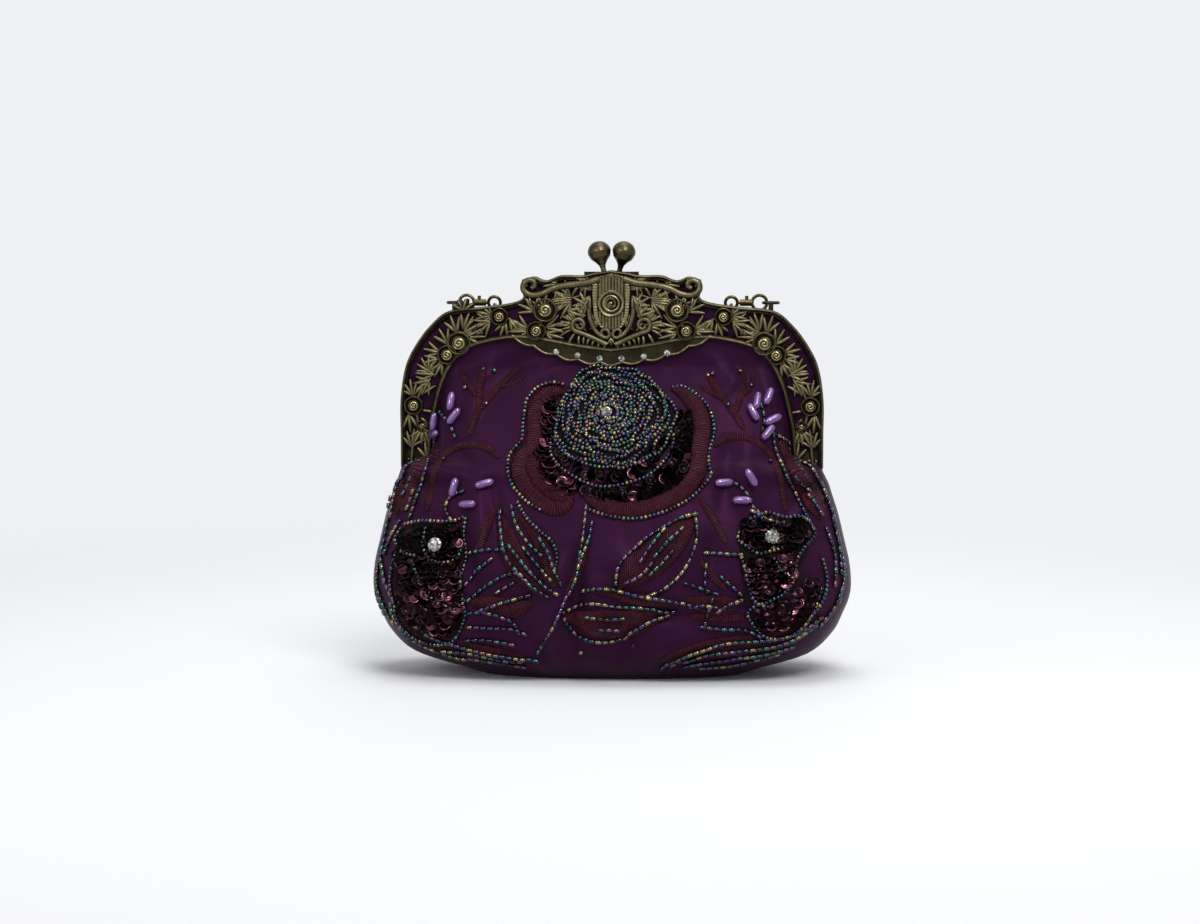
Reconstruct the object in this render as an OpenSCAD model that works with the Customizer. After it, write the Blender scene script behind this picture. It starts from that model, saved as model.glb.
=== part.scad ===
// Beaded evening clutch on an openwork kiss-lock frame, with a hanging chain handle.
// Millimetres. X to the right, Y to the back, Z up. The origin is the middle of the base.

/* [Bag body] */
// Height of the hinge rivets above the table
hinge_z = 88; // [80:1:100]
// Half of the widest width of the satin body
bag_half_w = 103; // [100:1:112]
// Half of the fullest depth of the satin body
bag_half_d = 42.5; // [40:0.5:46]
// Half depth of the lower body's upper edge, under the hinges
rim_half_d = 27; // [25:0.5:29]
// How far the upper edge of the body stands past the frame's arms
rim_spread = 0.5; // [0.2:0.1:1.5]
// Thickness of the satin with its stiffening
satin_t = 0.8; // [0.6:0.1:1]
// Thickness of the wadding between satin and lining
wadding_t = 1.6; // [1:0.1:2]
// Thickness of the lining
lining_t = 0.6; // [0.4:0.1:0.8]

/* [Frame] */
// Half of the width over the frame's arms
frame_half_w = 90.7; // [88:0.1:94]
// Height of the crest above the hinge rivets
frame_h = 84.4; // [80:0.1:90]
// Half of the slit between the two closed frames
slit_half = 0.3; // [0.2:0.05:0.4]
// Thickness of the frame's back plate
plate_t = 1.2; // [1:0.1:1.4]
// Depth of the wall that the openwork stands on
wall_d = 1.7; // [1.5:0.1:2]
// Width of that wall
wall_w = 1.4; // [1:0.1:1.6]
// Thickness of the openwork casting
openwork_t = 1.8; // [1.4:0.1:2]
// Width of the beading along the casting's outer edge
outer_band_w = 2.2; // [1.8:0.1:2.6]
// Width of the rail along the casting's inner edge
inner_band_w = 2; // [1.6:0.1:2.4]
// Thickness of the satin strip behind the openwork
strip_t = 1.4; // [1:0.1:1.5]
// Thickness of the scalloped apron under the rail
apron_t = 1.2; // [1:0.1:1.4]
// Radius of a crystal on the apron
apron_crystal_r = 1.6; // [1.2:0.1:1.8]

/* [Hinges] */
// Radius of the hinge ears
ear_r = 3; // [2.8:0.05:3.1]
// Thickness of one hinge ear
ear_t = 1.4; // [1:0.1:1.6]
// Clearance between two ears, and between an ear and a rivet head
ear_gap = 0.2; // [0.15:0.05:0.3]
// Radius of the rivet's shank
rivet_r = 1; // [0.8:0.05:1.2]
// Running clearance of the rivet in the ears
rivet_fit = 0.05; // [0.03:0.01:0.1]
// Radius of the rivet's heads
rivet_head_r = 2.2; // [1.8:0.1:2.6]
// Thickness of the rivet's heads
rivet_head_t = 1; // [0.8:0.1:1.2]

/* [Kiss lock] */
// Radius of a knob at its fullest
knob_r = 5.05; // [4.5:0.05:5.2]
// Height of a knob's fullest ring above its pivot
knob_rise = 11.3; // [10.5:0.1:12.5]
// Gap between the two closed knobs
knob_gap = 0.4; // [0.3:0.05:0.6]
// Half of the spacing of the knob pivots
pivot_half = 2.6; // [2.5:0.1:3]
// Radius of the knob's foot, which turns in the lock plate
foot_r = 1.6; // [1.5:0.05:1.7]
// Running clearance of that foot
foot_fit = 0.08; // [0.04:0.01:0.1]
// Thinnest radius of the knob's stem
stem_r = 1.15; // [1:0.05:1.2]
// Half of the width of the lock plate
lock_half_w = 11.6; // [11:0.1:12.5]
// Height of the lock plate
lock_h = 5; // [4.6:0.1:5.4]

/* [Chain handle] */
// Wire radius of the links
wire_r = 0.7; // [0.6:0.02:0.76]
// Centre-line radius of a link
link_r = 3.2; // [3.1:0.02:3.4]
// Distance from one link to the next
link_pitch = 4.7; // [4.6:0.02:4.75]
// Number of links, so few that the chain swings clear of the lower body when the frame opens
link_count = 31; // [25:2:31]
// Distance of the chain's swing axis behind the slit
chain_y = 8.8; // [8.5:0.1:10]
// Height of the swing axis under the crest
chain_drop = 14; // [13:0.1:15]
// Clearance of the chain where it lies back over the bag
chain_rest = 1.2; // [1:0.1:2]

/* [Embroidery] */
// Height of the sequined flowers over the satin
flower_rise = 1.5; // [1.2:0.1:2]
// Height of the padded leaves over the satin
leaf_rise = 1.2; // [1:0.1:1.6]
// Height of the padded petals over the satin
petal_rise = 1.3; // [1:0.1:1.6]

/* [Hidden] */
$fn = 48;

cut = 1;
cloth_gap = 0.3;
fan_sides = 40;
squareness = 2.4;
panel_squareness = 2.7;

// Height, half width and half depth of the body, as shares of its full sizes
rim_half_w = frame_half_w + rim_spread;
body_shares = [
    [0, 0.56, 0.62], [0.03, 0.64, 0.72], [0.1, 0.83, 0.87], [0.2, 0.925, 0.96],
    [0.3, 0.97, 0.995], [0.4, 1, 1], [0.53, 0.995, 0.96], [0.66, 0.97, 0.885],
    [0.78, 0.945, 0.8], [0.9, 0.912, 0.7], [1, rim_half_w / bag_half_w, rim_half_d / bag_half_d]];
// Where the inner layers end, so that the upper panels can swing in behind the rim
layer_end_share = 0.9;
body_steps = 2;
body_rows = smooth(body_shares, body_steps);
levels = [for (row = body_rows) row[0]];
layer_levels = [for (row = body_rows) if (row[0] <= layer_end_share) row[0]];

// Outer edge of the frame from the hinge to the crest: shares of half width and height
outer_shares = [
    [1, 0], [1, 0.17], [1, 0.341], [0.977, 0.505], [0.929, 0.617], [0.853, 0.724],
    [0.763, 0.796], [0.596, 0.816], [0.47, 0.836], [0.416, 0.863], [0.428, 0.915],
    [0.411, 0.944], [0.368, 0.969], [0.307, 0.949], [0.235, 0.975], [0.136, 0.975],
    [0.07, 0.99], [0, 1]];
// Inner edge of the frame, in the same shares
inner_shares = [
    [0.86, 0], [0.853, 0.162], [0.834, 0.275], [0.796, 0.428], [0.744, 0.533],
    [0.662, 0.609], [0.507, 0.65], [0.401, 0.653], [0.298, 0.637], [0.165, 0.61], [0, 0.586]];
smooth_steps = 3;

// Half depth of the upper panels: height share above the hinge, depth share of their foot
panel_depth_shares = [
    [-0.024, 1.02], [0, 1], [0.142, 0.8], [0.26, 0.61], [0.38, 0.41], [0.46, 0.24],
    [0.51, 0.116], [0.66, 0.116]];
panel_foot_d = rim_half_d - satin_t - cloth_gap;
panel_foot_share = -0.024;
panel_half_w = frame_half_w * inner_shares[1][0] - cloth_gap;
panel_side_share = 0.992;
panel_columns = 24;
panel_rows = 10;

// Roses of the casting: place and radius, as shares of the half width and height
rose_shares = [
    [0.311, 0.798, 0.057], [0.354, 0.695, 0.042], [0.528, 0.765, 0.043],
    [0.72, 0.63, 0.056], [0.777, 0.571, 0.047], [0.937, 0.313, 0.045]];
bud_share = [0.896, 0.208, 0.028];
medallion_rose_share = [0, 0.832, 0.064];
// Leaves: place of the root, direction in degrees, length share of the half width
leaf_shares = [
    [0.19, 0.86, 20, 0.15], [0.19, 0.85, -5, 0.15], [0.19, 0.84, -32, 0.14],
    [0.09, 0.9, 40, 0.13], [0.075, 0.72, 70, 0.12], [0.25, 0.93, 20, 0.12],
    [0, 0.66, 27, 0.19], [0, 0.69, -90, 0.1], [0.01, 0.67, -45, 0.1], [0.02, 0.67, -12, 0.13],
    [0.08, 0.86, -8, 0.13], [0.16, 0.72, 15, 0.13],
    [0.31, 0.8, 60, 0.13], [0.33, 0.74, -75, 0.09], [0.36, 0.79, 25, 0.13],
    [0.36, 0.8, 50, 0.13], [0.39, 0.69, 0, 0.13], [0.39, 0.7, 28, 0.12], [0.3, 0.68, 200, 0.13],
    [0.31, 0.71, 165, 0.14], [0.5, 0.74, -70, 0.1], [0.48, 0.75, 230, 0.1],
    [0.56, 0.77, 15, 0.12], [0.57, 0.74, -20, 0.13], [0.7, 0.68, 150, 0.14],
    [0.7, 0.7, 110, 0.12], [0.69, 0.66, 175, 0.13], [0.73, 0.68, 70, 0.13],
    [0.77, 0.62, 60, 0.12], [0.81, 0.58, 15, 0.12], [0.82, 0.55, -15, 0.1],
    [0.8, 0.53, -60, 0.11], [0.86, 0.48, 60, 0.11], [0.84, 0.47, 5, 0.13],
    [0.86, 0.44, -35, 0.12], [0.9, 0.37, 120, 0.12], [0.94, 0.36, 80, 0.12],
    [0.9, 0.29, 190, 0.07], [0.96, 0.27, -95, 0.12], [0.9, 0.25, 230, 0.08],
    [0.89, 0.2, -110, 0.12], [0.9, 0.19, -60, 0.11], [0.95, 0.1, 100, 0.12],
    [0.87, 0.03, 80, 0.12]];
leaf_width_share = 0.3;
// Leaves and roses grow with the wider of the frame's two sizes, so that they keep touching
height_share = 1.0746;
casting_unit = max(frame_half_w, frame_h * height_share);
// Shield behind the middle rose
shield_shares = [
    [0, 0.695], [0.045, 0.71], [0.075, 0.76], [0.085, 0.84], [0.085, 0.93],
    [0.06, 0.965], [0, 0.98]];
// Curls of the scrolls beside the shield: place and radius
curl_shares = [[0.154, 0.719, 0.027], [0.034, 0.679, 0.017], [0.385, 0.925, 0.024]];
curl_wire_share = 0.011;
// Bar across the lower end of each arm
foot_shares = [[0.86, 0], [1, 0], [1, 0.03], [0.86, 0.03]];
rose_relief = 1.4;
back_rose_relief = 0.5;

// Apron under the rail
apron_half_w = frame_half_w * 0.47;
apron_low_share = 0.516;
apron_scallops = 9;
scallop_rise = 1.3;
apron_steps = 6;
apron_crystal_shares = [[0.258, 0.582], [0.157, 0.566], [0.053, 0.557]];
crystal_t = 1;

// Faces of the front half, counted from the slit towards the front
plate_y = slit_half;
wall_y = plate_y + plate_t;
openwork_y = wall_y + wall_d;
face_y = openwork_y + openwork_t;

ear_x = frame_half_w - ear_t - rivet_head_t - ear_gap * 2;
arm_foot_z = ear_r + cloth_gap;
notch_spare = 2.2;
notch_r = face_y + notch_spare;

lock_top_share = 0.993;
lock_top_z = hinge_z + frame_h * lock_top_share;
lock_low_z = lock_top_z - lock_h;
pivot_drop_share = 0.52;
lock_t = wall_y + wall_d - slit_half - cloth_gap / 3;
pivot_z = lock_top_z - lock_h * pivot_drop_share;
pivot_y = slit_half + lock_t / 2;
knob_tilt = asin((knob_r + knob_gap / 2 - pivot_half) / knob_rise);
knob_lean = asin((pivot_y - slit_half) / knob_rise);

chain_z = hinge_z + frame_h - chain_drop;
eye_x = frame_half_w * 0.752;
hook_x = eye_x - link_pitch - wire_r / 4;
neck_t = 4.6;
neck_r = 1.5;
swivel_x = hook_x - link_r - wire_r - neck_t;
ring_r = 2.6;
ring_x = swivel_x - ring_r - wire_r - cloth_gap;
shank_t = 3.2;
anchor_drop = ring_r - wire_r * 2 - cloth_gap;

function smooth(path, steps) = concat(
    [for (i = [0 : len(path) - 2]) for (j = [0 : steps - 1])
        bend(path[max(i - 1, 0)], path[i], path[i + 1],
            path[min(i + 2, len(path) - 1)], j / steps)],
    [path[len(path) - 1]]);
function bend(a, b, c, d, t) =
    (2 * b + (c - a) * t + (2 * a - 5 * b + 4 * c - d) * t * t
        + (3 * b - a - 3 * c + d) * t * t * t) / 2;
function reversed(list) = [for (i = [len(list) - 1 : -1 : 0]) list[i]];
function on_frame(share) = [share[0] * frame_half_w, hinge_z + share[1] * frame_h];
function frame_path(shares) = [for (share = smooth(shares, smooth_steps)) on_frame(share)];
function both_sides(half) = concat(half,
    [for (p = reversed(half)) if (p[0] > 0) [-p[0], p[1]]]);
function along(path, i) = path[min(i + 1, len(path) - 1)] - path[max(i - 1, 0)];
function moved_in(path, d) = [for (i = [0 : len(path) - 1])
    path[i] + d * [-along(path, i)[1], along(path, i)[0]] / norm(along(path, i))];

outer_path = both_sides(frame_path(outer_shares));
inner_path = both_sides(frame_path(inner_shares));

width_rows = [for (row = body_rows) [row[0], row[1]]];
depth_rows = [for (row = body_rows) [row[0], row[2]]];
function width_share(s) = lookup(s, width_rows);
function depth_share(s) = lookup(s, depth_rows);

function level_point(s, inset, k) =
    let (
        half_w = width_share(s) * bag_half_w - inset,
        half_d = depth_share(s) * bag_half_d - inset,
        turn = 360 * k / fan_sides,
        c = cos(turn),
        d = sin(turn))
    [half_w * sign(c) * pow(abs(c), 2 / squareness),
        half_d * sign(d) * pow(abs(d), 2 / squareness),
        inset + s * (hinge_z - inset)];

// A cup between two insets from the body's outer surface
module cup(outer_inset, inner_inset, cup_levels) {
    rows = len(cup_levels);
    n = fan_sides;
    points = concat(
        [for (s = cup_levels) for (k = [0 : n - 1]) level_point(s, outer_inset, k)],
        [for (s = cup_levels) for (k = [0 : n - 1]) level_point(s, inner_inset, k)],
        [[0, 0, outer_inset], [0, 0, inner_inset]]);
    inner = rows * n;
    low = 2 * rows * n;
    faces = concat(
        [for (r = [0 : rows - 2]) for (k = [0 : n - 1]) for (half = [0, 1])
            half == 0 ? [r * n + k, (r + 1) * n + k, (r + 1) * n + (k + 1) % n]
                : [r * n + k, (r + 1) * n + (k + 1) % n, r * n + (k + 1) % n]],
        [for (r = [0 : rows - 2]) for (k = [0 : n - 1]) for (half = [0, 1])
            half == 0 ? [inner + r * n + k, inner + (r + 1) * n + (k + 1) % n,
                    inner + (r + 1) * n + k]
                : [inner + r * n + k, inner + r * n + (k + 1) % n,
                    inner + (r + 1) * n + (k + 1) % n]],
        [for (k = [0 : n - 1]) [low, k, (k + 1) % n]],
        [for (k = [0 : n - 1]) [low + 1, inner + (k + 1) % n, inner + k]],
        [for (k = [0 : n - 1]) for (half = [0, 1])
            let (a = (rows - 1) * n + k, b = (rows - 1) * n + (k + 1) % n)
            half == 0 ? [a, inner + a, inner + b] : [a, inner + b, b]]);
    polyhedron(points, faces);
}

// A closed sheet between two grids of points, each with the given rows and columns
module sheet(front, back, rows, columns) {
    n = columns;
    m = rows * n;
    last = rows - 1;
    edge = concat(
        [for (c = [0 : n - 2]) [c, c + 1]],
        [for (r = [0 : last - 1]) [r * n + n - 1, (r + 1) * n + n - 1]],
        [for (c = [n - 1 : -1 : 1]) [last * n + c, last * n + c - 1]],
        [for (r = [last : -1 : 1]) [r * n, (r - 1) * n]]);
    faces = concat(
        [for (r = [0 : last - 1]) for (c = [0 : n - 2]) for (half = [0, 1])
            let (a = r * n + c, b = a + 1, d = a + n, e = d + 1)
            half == 0 ? [a, d, e] : [a, e, b]],
        [for (r = [0 : last - 1]) for (c = [0 : n - 2]) for (half = [0, 1])
            let (a = m + r * n + c, b = a + 1, d = a + n, e = d + 1)
            half == 0 ? [a, e, d] : [a, b, e]],
        [for (pair = edge) for (half = [0, 1])
            half == 0 ? [pair[0], pair[1], m + pair[1]] : [pair[0], m + pair[1], m + pair[0]]]);
    polyhedron(concat(front, back), faces);
}

// Half depth of an upper panel at a place in the front view
function panel_depth(x, z) =
    let (
        foot = lookup((z - hinge_z) / frame_h, panel_depth_shares) * panel_foot_d,
        edge = wall_y + wall_d / 2,
        s = min(abs(x) / panel_half_w, 1))
    edge + max(foot - edge, 0) * pow(1 - pow(s, panel_squareness), 1 / panel_squareness);

// Height of the frame's inner edge above a place across the bag
inner_half = reversed(frame_path(inner_shares));
inner_heights = [for (p = inner_half) [p[0], p[1]]];
function panel_top(x) = lookup(abs(x), inner_heights) - cloth_gap;

function panel_grid(inset) = [
    for (r = [0 : panel_rows]) for (c = [0 : panel_columns])
        let (
            x = panel_side_share * panel_half_w * (2 * c / panel_columns - 1),
            low = hinge_z + panel_foot_share * frame_h,
            z = low + (panel_top(x) - low) * r / panel_rows)
        [x, inset - panel_depth(x, z), z]];

module upper_panel(from_inset, to_inset) {
    sheet(panel_grid(from_inset), panel_grid(to_inset), panel_rows + 1, panel_columns + 1);
}

// A flat piece standing in the frame's plane, from one depth forwards
module standing(from_y, thickness) {
    translate([0, -from_y, 0])
        rotate([90, 0, 0])
            linear_extrude(thickness)
                children();
}

module band(path, width) {
    polygon(concat(path, reversed(moved_in(path, width))));
}

module frame_plate() {
    polygon(concat(outer_path, reversed(inner_path)));
}

module above(z) {
    translate([-frame_half_w - cut, z])
        square([2 * (frame_half_w + cut), frame_h + cut]);
}

module lock_window() {
    translate([-lock_half_w - cloth_gap / 3, lock_low_z - cloth_gap / 3])
        square([2 * lock_half_w + cloth_gap * 2 / 3, lock_h + frame_h]);
}

// Channel that the satin is glued into, with one pair of hinge ears
module frame_channel(ear_place) {
    difference() {
        union() {
            standing(plate_y, plate_t)
                difference() {
                    intersection() {
                        frame_plate();
                        above(hinge_z + arm_foot_z);
                    }
                    lock_window();
                }
            standing(wall_y, wall_d)
                difference() {
                    intersection() {
                        union() {
                            band(outer_path, wall_w);
                            band(inner_path, -wall_w);
                        }
                        above(hinge_z + arm_foot_z);
                    }
                    lock_window();
                }
            for (side = [-1, 1])
                translate([side * ear_place - ear_t / 2, 0, hinge_z]) {
                    rotate([0, 90, 0])
                        cylinder(r = ear_r, h = ear_t);
                    translate([0, -ear_r, 0])
                        cube([ear_t, ear_r - slit_half, arm_foot_z + wall_w]);
                }
        }
        for (side = [-1, 1])
            translate([side * ear_place - ear_t / 2 - cut, 0, hinge_z])
                rotate([0, 90, 0])
                    cylinder(r = rivet_r + rivet_fit, h = ear_t + 2 * cut);
    }
}

front_ear_x = ear_x + ear_t / 2;
back_ear_x = ear_x - ear_t / 2 - ear_gap;

module leaf(length, width) {
    polygon([[0, -width / 6], [length / 4, -width / 2], [length * 2 / 3, -width / 3],
        [length, 0], [length * 2 / 3, width / 3], [length / 4, width / 2], [0, width / 6]]);
}

module rose(radius, relief) {
    base = relief / 4;
    rotate([90, 0, 0])
        rotate_extrude()
            polygon([[0, -openwork_t], [radius, -openwork_t], [radius, base],
                [radius * 0.86, relief * 0.7], [radius * 0.7, base], [radius * 0.62, relief * 0.9],
                [radius * 0.44, base * 2], [radius * 0.36, relief], [radius * 0.16, relief],
                [radius * 0.1, base * 2], [0, base * 2]]);
}

module curl(share, relief) {
    place = on_frame(share);
    wire = curl_wire_share * casting_unit;
    translate([place[0], -openwork_y, place[1]])
        rotate([90, 0, 0])
            rotate_extrude()
                translate([share[2] * casting_unit - wire, 0])
                    square([2 * wire, openwork_t + relief / 2]);
}

module openwork_half(relief) {
    standing(openwork_y, openwork_t)
        intersection() {
            frame_plate();
            for (share = leaf_shares)
                translate(on_frame(share))
                    rotate(share[2])
                        leaf(share[3] * casting_unit, leaf_width_share * share[3] * casting_unit);
        }
    for (share = concat(rose_shares, [bud_share]))
        let (place = on_frame(share))
            translate([place[0], -face_y, place[1]])
                rose(share[2] * casting_unit, relief);
    for (share = curl_shares)
        curl(share, relief);
}

// Cast openwork plate with roses, leaves and scrolls
module openwork(relief) {
    standing(openwork_y, openwork_t) {
        band(outer_path, outer_band_w);
        band(inner_path, -inner_band_w);
        polygon(both_sides([for (share = reversed(shield_shares)) on_frame(share)]));
        for (side = [-1, 1])
            polygon([for (share = foot_shares) let (p = on_frame(share)) [side * p[0], p[1]]]);
    }
    openwork_half(relief);
    mirror([1, 0, 0])
        openwork_half(relief);
    translate([0, -face_y, on_frame(medallion_rose_share)[1]])
        rose(medallion_rose_share[2] * casting_unit, relief);
}

module strip() {
    standing(wall_y, strip_t)
        difference() {
            intersection() {
                polygon(concat(moved_in(outer_path, wall_w + cloth_gap / 3),
                    reversed(moved_in(inner_path, -wall_w - cloth_gap / 3))));
                above(hinge_z + arm_foot_z + wall_w);
            }
            lock_window();
        }
}

function scallop_z(x) =
    let (
        edge = on_frame([0, apron_low_share])[1],
        rise = (lookup(apron_half_w, inner_heights) - edge) * pow(x / apron_half_w, 2),
        wave = abs(sin(180 * (x / apron_half_w + 1) * apron_scallops / 2)))
    edge + rise + scallop_rise * (1 - wave);

module apron() {
    steps = apron_scallops * apron_steps;
    xs = [for (i = [0 : steps]) apron_half_w * (2 * i / steps - 1)];
    end_z = lookup(apron_half_w, inner_heights);
    standing(openwork_y, apron_t)
        polygon(concat(
            [for (x = xs) [x, min(scallop_z(x), lookup(abs(x), inner_heights) - cloth_gap / 3)]],
            [[apron_half_w, end_z]],
            [for (p = inner_path) if (abs(p[0]) < apron_half_w) p],
            [[-apron_half_w, end_z]]));
}

// A cut crystal whose flat back lies at the origin and whose table faces the front
module crystal(radius, height) {
    rotate([90, 0, 0])
        rotate_extrude($fn = 24)
            polygon([[0, 0], [radius, 0], [radius, height * 0.4], [radius * 0.6, height],
                [0, height]]);
}

// A long pearl lying along Z
module pearl(length, radius) {
    steps = 12;
    rotate_extrude($fn = 24)
        polygon([for (i = [0 : steps]) [radius * sin(180 * i / steps),
            -length / 2 * cos(180 * i / steps)]]);
}

// Half depth of the lower body at a place in the front view
function body_depth(x, z) =
    let (
        s = z / hinge_z,
        half_w = width_share(s) * bag_half_w,
        half_d = depth_share(s) * bag_half_d)
    half_d * pow(1 - pow(min(abs(x) / half_w, 1), squareness), 1 / squareness);

function bag_depth(x, z) = z < hinge_z ? body_depth(x, z) : panel_depth(x, z);

// Raised motifs of the lower body, along their middles: across, up, half width
flower_shares = [
    [[-0.718, 0.753, 0.03], [-0.725, 0.697, 0.113], [-0.727, 0.594, 0.129],
        [-0.728, 0.481, 0.133], [-0.724, 0.367, 0.12], [-0.713, 0.305, 0.075],
        [-0.7, 0.272, 0.03]],
    [[0.683, 0.785, 0.04], [0.679, 0.727, 0.121], [0.671, 0.625, 0.138], [0.66, 0.524, 0.105],
        [0.683, 0.438, 0.138], [0.71, 0.362, 0.1], [0.7, 0.3, 0.04]]];
leaf_pad_shares = [
    [[0.358, 0.79, 0.01], [0.318, 0.745, 0.04], [0.262, 0.682, 0.061], [0.194, 0.607, 0.069],
        [0.122, 0.539, 0.053], [0.046, 0.463, 0.01]],
    [[-0.18, 0.33, 0.01], [-0.117, 0.313, 0.036], [-0.035, 0.298, 0.057], [0.054, 0.292, 0.061],
        [0.142, 0.311, 0.049], [0.25, 0.35, 0.01]],
    [[-0.445, 0.79, 0.01], [-0.42, 0.716, 0.036], [-0.39, 0.621, 0.05], [-0.34, 0.524, 0.044],
        [-0.26, 0.43, 0.01]],
    [[-0.36, 0.79, 0.01], [-0.31, 0.735, 0.024], [-0.262, 0.645, 0.03], [-0.225, 0.546, 0.026],
        [-0.205, 0.47, 0.01]],
    [[-0.56, 0.385, 0.01], [-0.492, 0.38, 0.036], [-0.422, 0.36, 0.045], [-0.356, 0.365, 0.036],
        [-0.303, 0.39, 0.01]],
    [[0.32, 0.407, 0.01], [0.392, 0.387, 0.036], [0.465, 0.377, 0.044], [0.53, 0.395, 0.01]],
    [[-0.06, 0.451, 0.01], [0, 0.445, 0.018], [0.11, 0.41, 0.024], [0.2, 0.4, 0.022],
        [0.29, 0.39, 0.01]],
    [[-0.89, 0.33, 0.012], [-0.83, 0.25, 0.034], [-0.735, 0.19, 0.042],
        [-0.616, 0.157, 0.04], [-0.482, 0.138, 0.03], [-0.342, 0.115, 0.01]],
    [[0.222, 0.112, 0.01], [0.336, 0.15, 0.034], [0.466, 0.175, 0.044], [0.603, 0.186, 0.046],
        [0.742, 0.222, 0.042], [0.865, 0.305, 0.012]],
    [[-0.862, 0.925, 0.02], [-0.875, 0.88, 0.03], [-0.885, 0.83, 0.03], [-0.898, 0.77, 0.012]],
    [[0.785, 0.93, 0.02], [0.815, 0.88, 0.034], [0.845, 0.83, 0.034], [0.875, 0.77, 0.012]],
    [[-0.091, 0.7, 0.018], [-0.1, 0.62, 0.02], [-0.125, 0.52, 0.018], [-0.16, 0.42, 0.014]]];
petal_pad_shares = [
    [[-0.36, 0.965, 0.03], [-0.337, 0.915, 0.038], [-0.286, 0.862, 0.042],
        [-0.228, 0.835, 0.04], [-0.167, 0.84, 0.02]],
    [[0.405, 0.965, 0.03], [0.353, 0.915, 0.046], [0.272, 0.87, 0.052], [0.171, 0.85, 0.052],
        [0.057, 0.85, 0.052], [-0.033, 0.86, 0.044], [-0.1, 0.88, 0.02]]];
pad_columns = 4;
pad_steps = 2;
pad_edge_t = 0.4;

// A padded motif that follows the cloth: fullest along its middle, thin at its edge
module pad(shares, rise) {
    path = [for (row = smooth(shares, pad_steps))
        [row[0] * bag_half_w, row[1] * hinge_z, row[2] * bag_half_w]];
    last = len(path) - 1;
    grids = [for (layer = [1, 0]) [for (i = [0 : last]) for (c = [0 : pad_columns])
        let (
            step = along(path, i),
            run = norm([step[0], step[1]]),
            t = 2 * c / pad_columns - 1,
            x = path[i][0] + t * path[i][2] * step[1] / run,
            z = path[i][1] - t * path[i][2] * step[0] / run,
            fullness = (1 - pow(2 * i / last - 1, 4)) * sqrt(1 - t * t))
        [x, -body_depth(x, z) - cloth_gap - layer * (pad_edge_t + rise * fullness), z]]];
    sheet(grids[0], grids[1], last + 1, pad_columns + 1);
}

// Pearls on the lower body: across, up, turn in the front view
lower_pearl_shares = [[-0.65, 0.89, 8], [-0.534, 0.916, 75], [-0.596, 0.812, 88],
    [0.485, 0.925, 90], [0.597, 0.966, -20], [0.567, 0.812, 92]];
shoulder_pearl_shares = [[-0.759, 0.326, 5], [-0.744, 0.25, 35], [-0.79, 0.228, 85],
    [0.696, 0.322, 0], [0.75, 0.343, 25], [0.672, 0.27, -25], [0.763, 0.23, 60]];
pearl_l = 8;
pearl_r = 1.6;
flower_crystal_shares = [[-0.726, 0.614], [0.666, 0.65]];
flower_crystal_r = 3;
flower_crystal_t = 2.4;

// Sets a piece on a surface, with its back on the cloth and its front facing outwards
module on_surface(x, z, depth, across, up, lift) {
    translate([x, -depth, z])
        rotate([asin(up / norm([across, 1, up])), 0, -atan(across)])
            translate([0, -lift, 0])
                children();
}

module on_body(share, lift) {
    x = share[0] * bag_half_w;
    z = share[1] * hinge_z;
    step = wadding_t;
    across = (body_depth(x + step, z) - body_depth(x - step, z)) / (2 * step);
    up = (body_depth(x, z + step) - body_depth(x, z - step)) / (2 * step);
    on_surface(x, z, body_depth(x, z), across, up, lift)
        children();
}

module on_panel(share, lift) {
    x = share[0] * frame_half_w;
    z = hinge_z + share[1] * frame_h;
    step = wadding_t;
    across = (panel_depth(x + step, z) - panel_depth(x - step, z)) / (2 * step);
    up = (panel_depth(x, z + step) - panel_depth(x, z - step)) / (2 * step);
    on_surface(x, z, panel_depth(x, z), across, up, lift)
        children();
}

rose_disc_share = [0.019, 0.248];
rose_disc_r = 22.5;
rose_disc_t = 2;
rose_disc_bulge = 1.6;
rose_crystal_r = 2.2;

module lock_plate() {
    difference() {
        standing(slit_half, lock_t)
            translate([-lock_half_w, lock_low_z])
                square([2 * lock_half_w, lock_h]);
        translate([-pivot_half, -slit_half + cut, pivot_z])
            rotate([90, 0, 0])
                cylinder(r = foot_r + foot_fit, h = lock_t + 2 * cut);
        translate([-pivot_half, -slit_half + cut, pivot_z])
            rotate([90, 0, 0])
                linear_extrude(lock_t + 2 * cut)
                    polygon([[-foot_r, 0], [foot_r, 0], [foot_r * 1.2, lock_h],
                        [-foot_r * 2, lock_h]]);
        for (side = [-1, 1])
            translate([side * lock_rivet_x, -slit_half + cut, pivot_z])
                rotate([90, 0, 0])
                    cylinder(r = lock_rivet_r, h = lock_t + 2 * cut);
    }
}
lock_rivet_x = lock_half_w * 0.74;
lock_rivet_r = 0.9;

module lock_rivets() {
    for (side = [-1, 1])
        translate([side * lock_rivet_x, -slit_half, pivot_z])
            rotate([90, 0, 0])
                cylinder(r = lock_rivet_r, h = lock_t);
}

// Acorn knob on its stem, with the foot that turns in the lock plate
module knob() {
    belly = knob_rise;
    translate([-pivot_half, -pivot_y, pivot_z]) {
        rotate([90, 0, 0])
            translate([0, 0, -(lock_t - cloth_gap) / 2])
                cylinder(r = foot_r, h = lock_t - cloth_gap);
        rotate([-knob_lean, -knob_tilt, 0])
            rotate_extrude()
                polygon(concat(
                    [[0, 0], [stem_r, 0], [stem_r, belly * 0.38], [stem_r * 1.3, belly * 0.5],
                        [knob_r * 0.5, belly * 0.63], [knob_r * 0.82, belly * 0.78]],
                    [for (i = [0 : 9]) [knob_r * cos(i * 10), belly + knob_r * 0.95 * sin(i * 10)]],
                    [[0, belly + knob_r * 0.95]]));
    }
}

module torus(radius, wire) {
    rotate_extrude()
        translate([radius, 0])
            circle(r = wire, $fn = 20);
}

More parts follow.
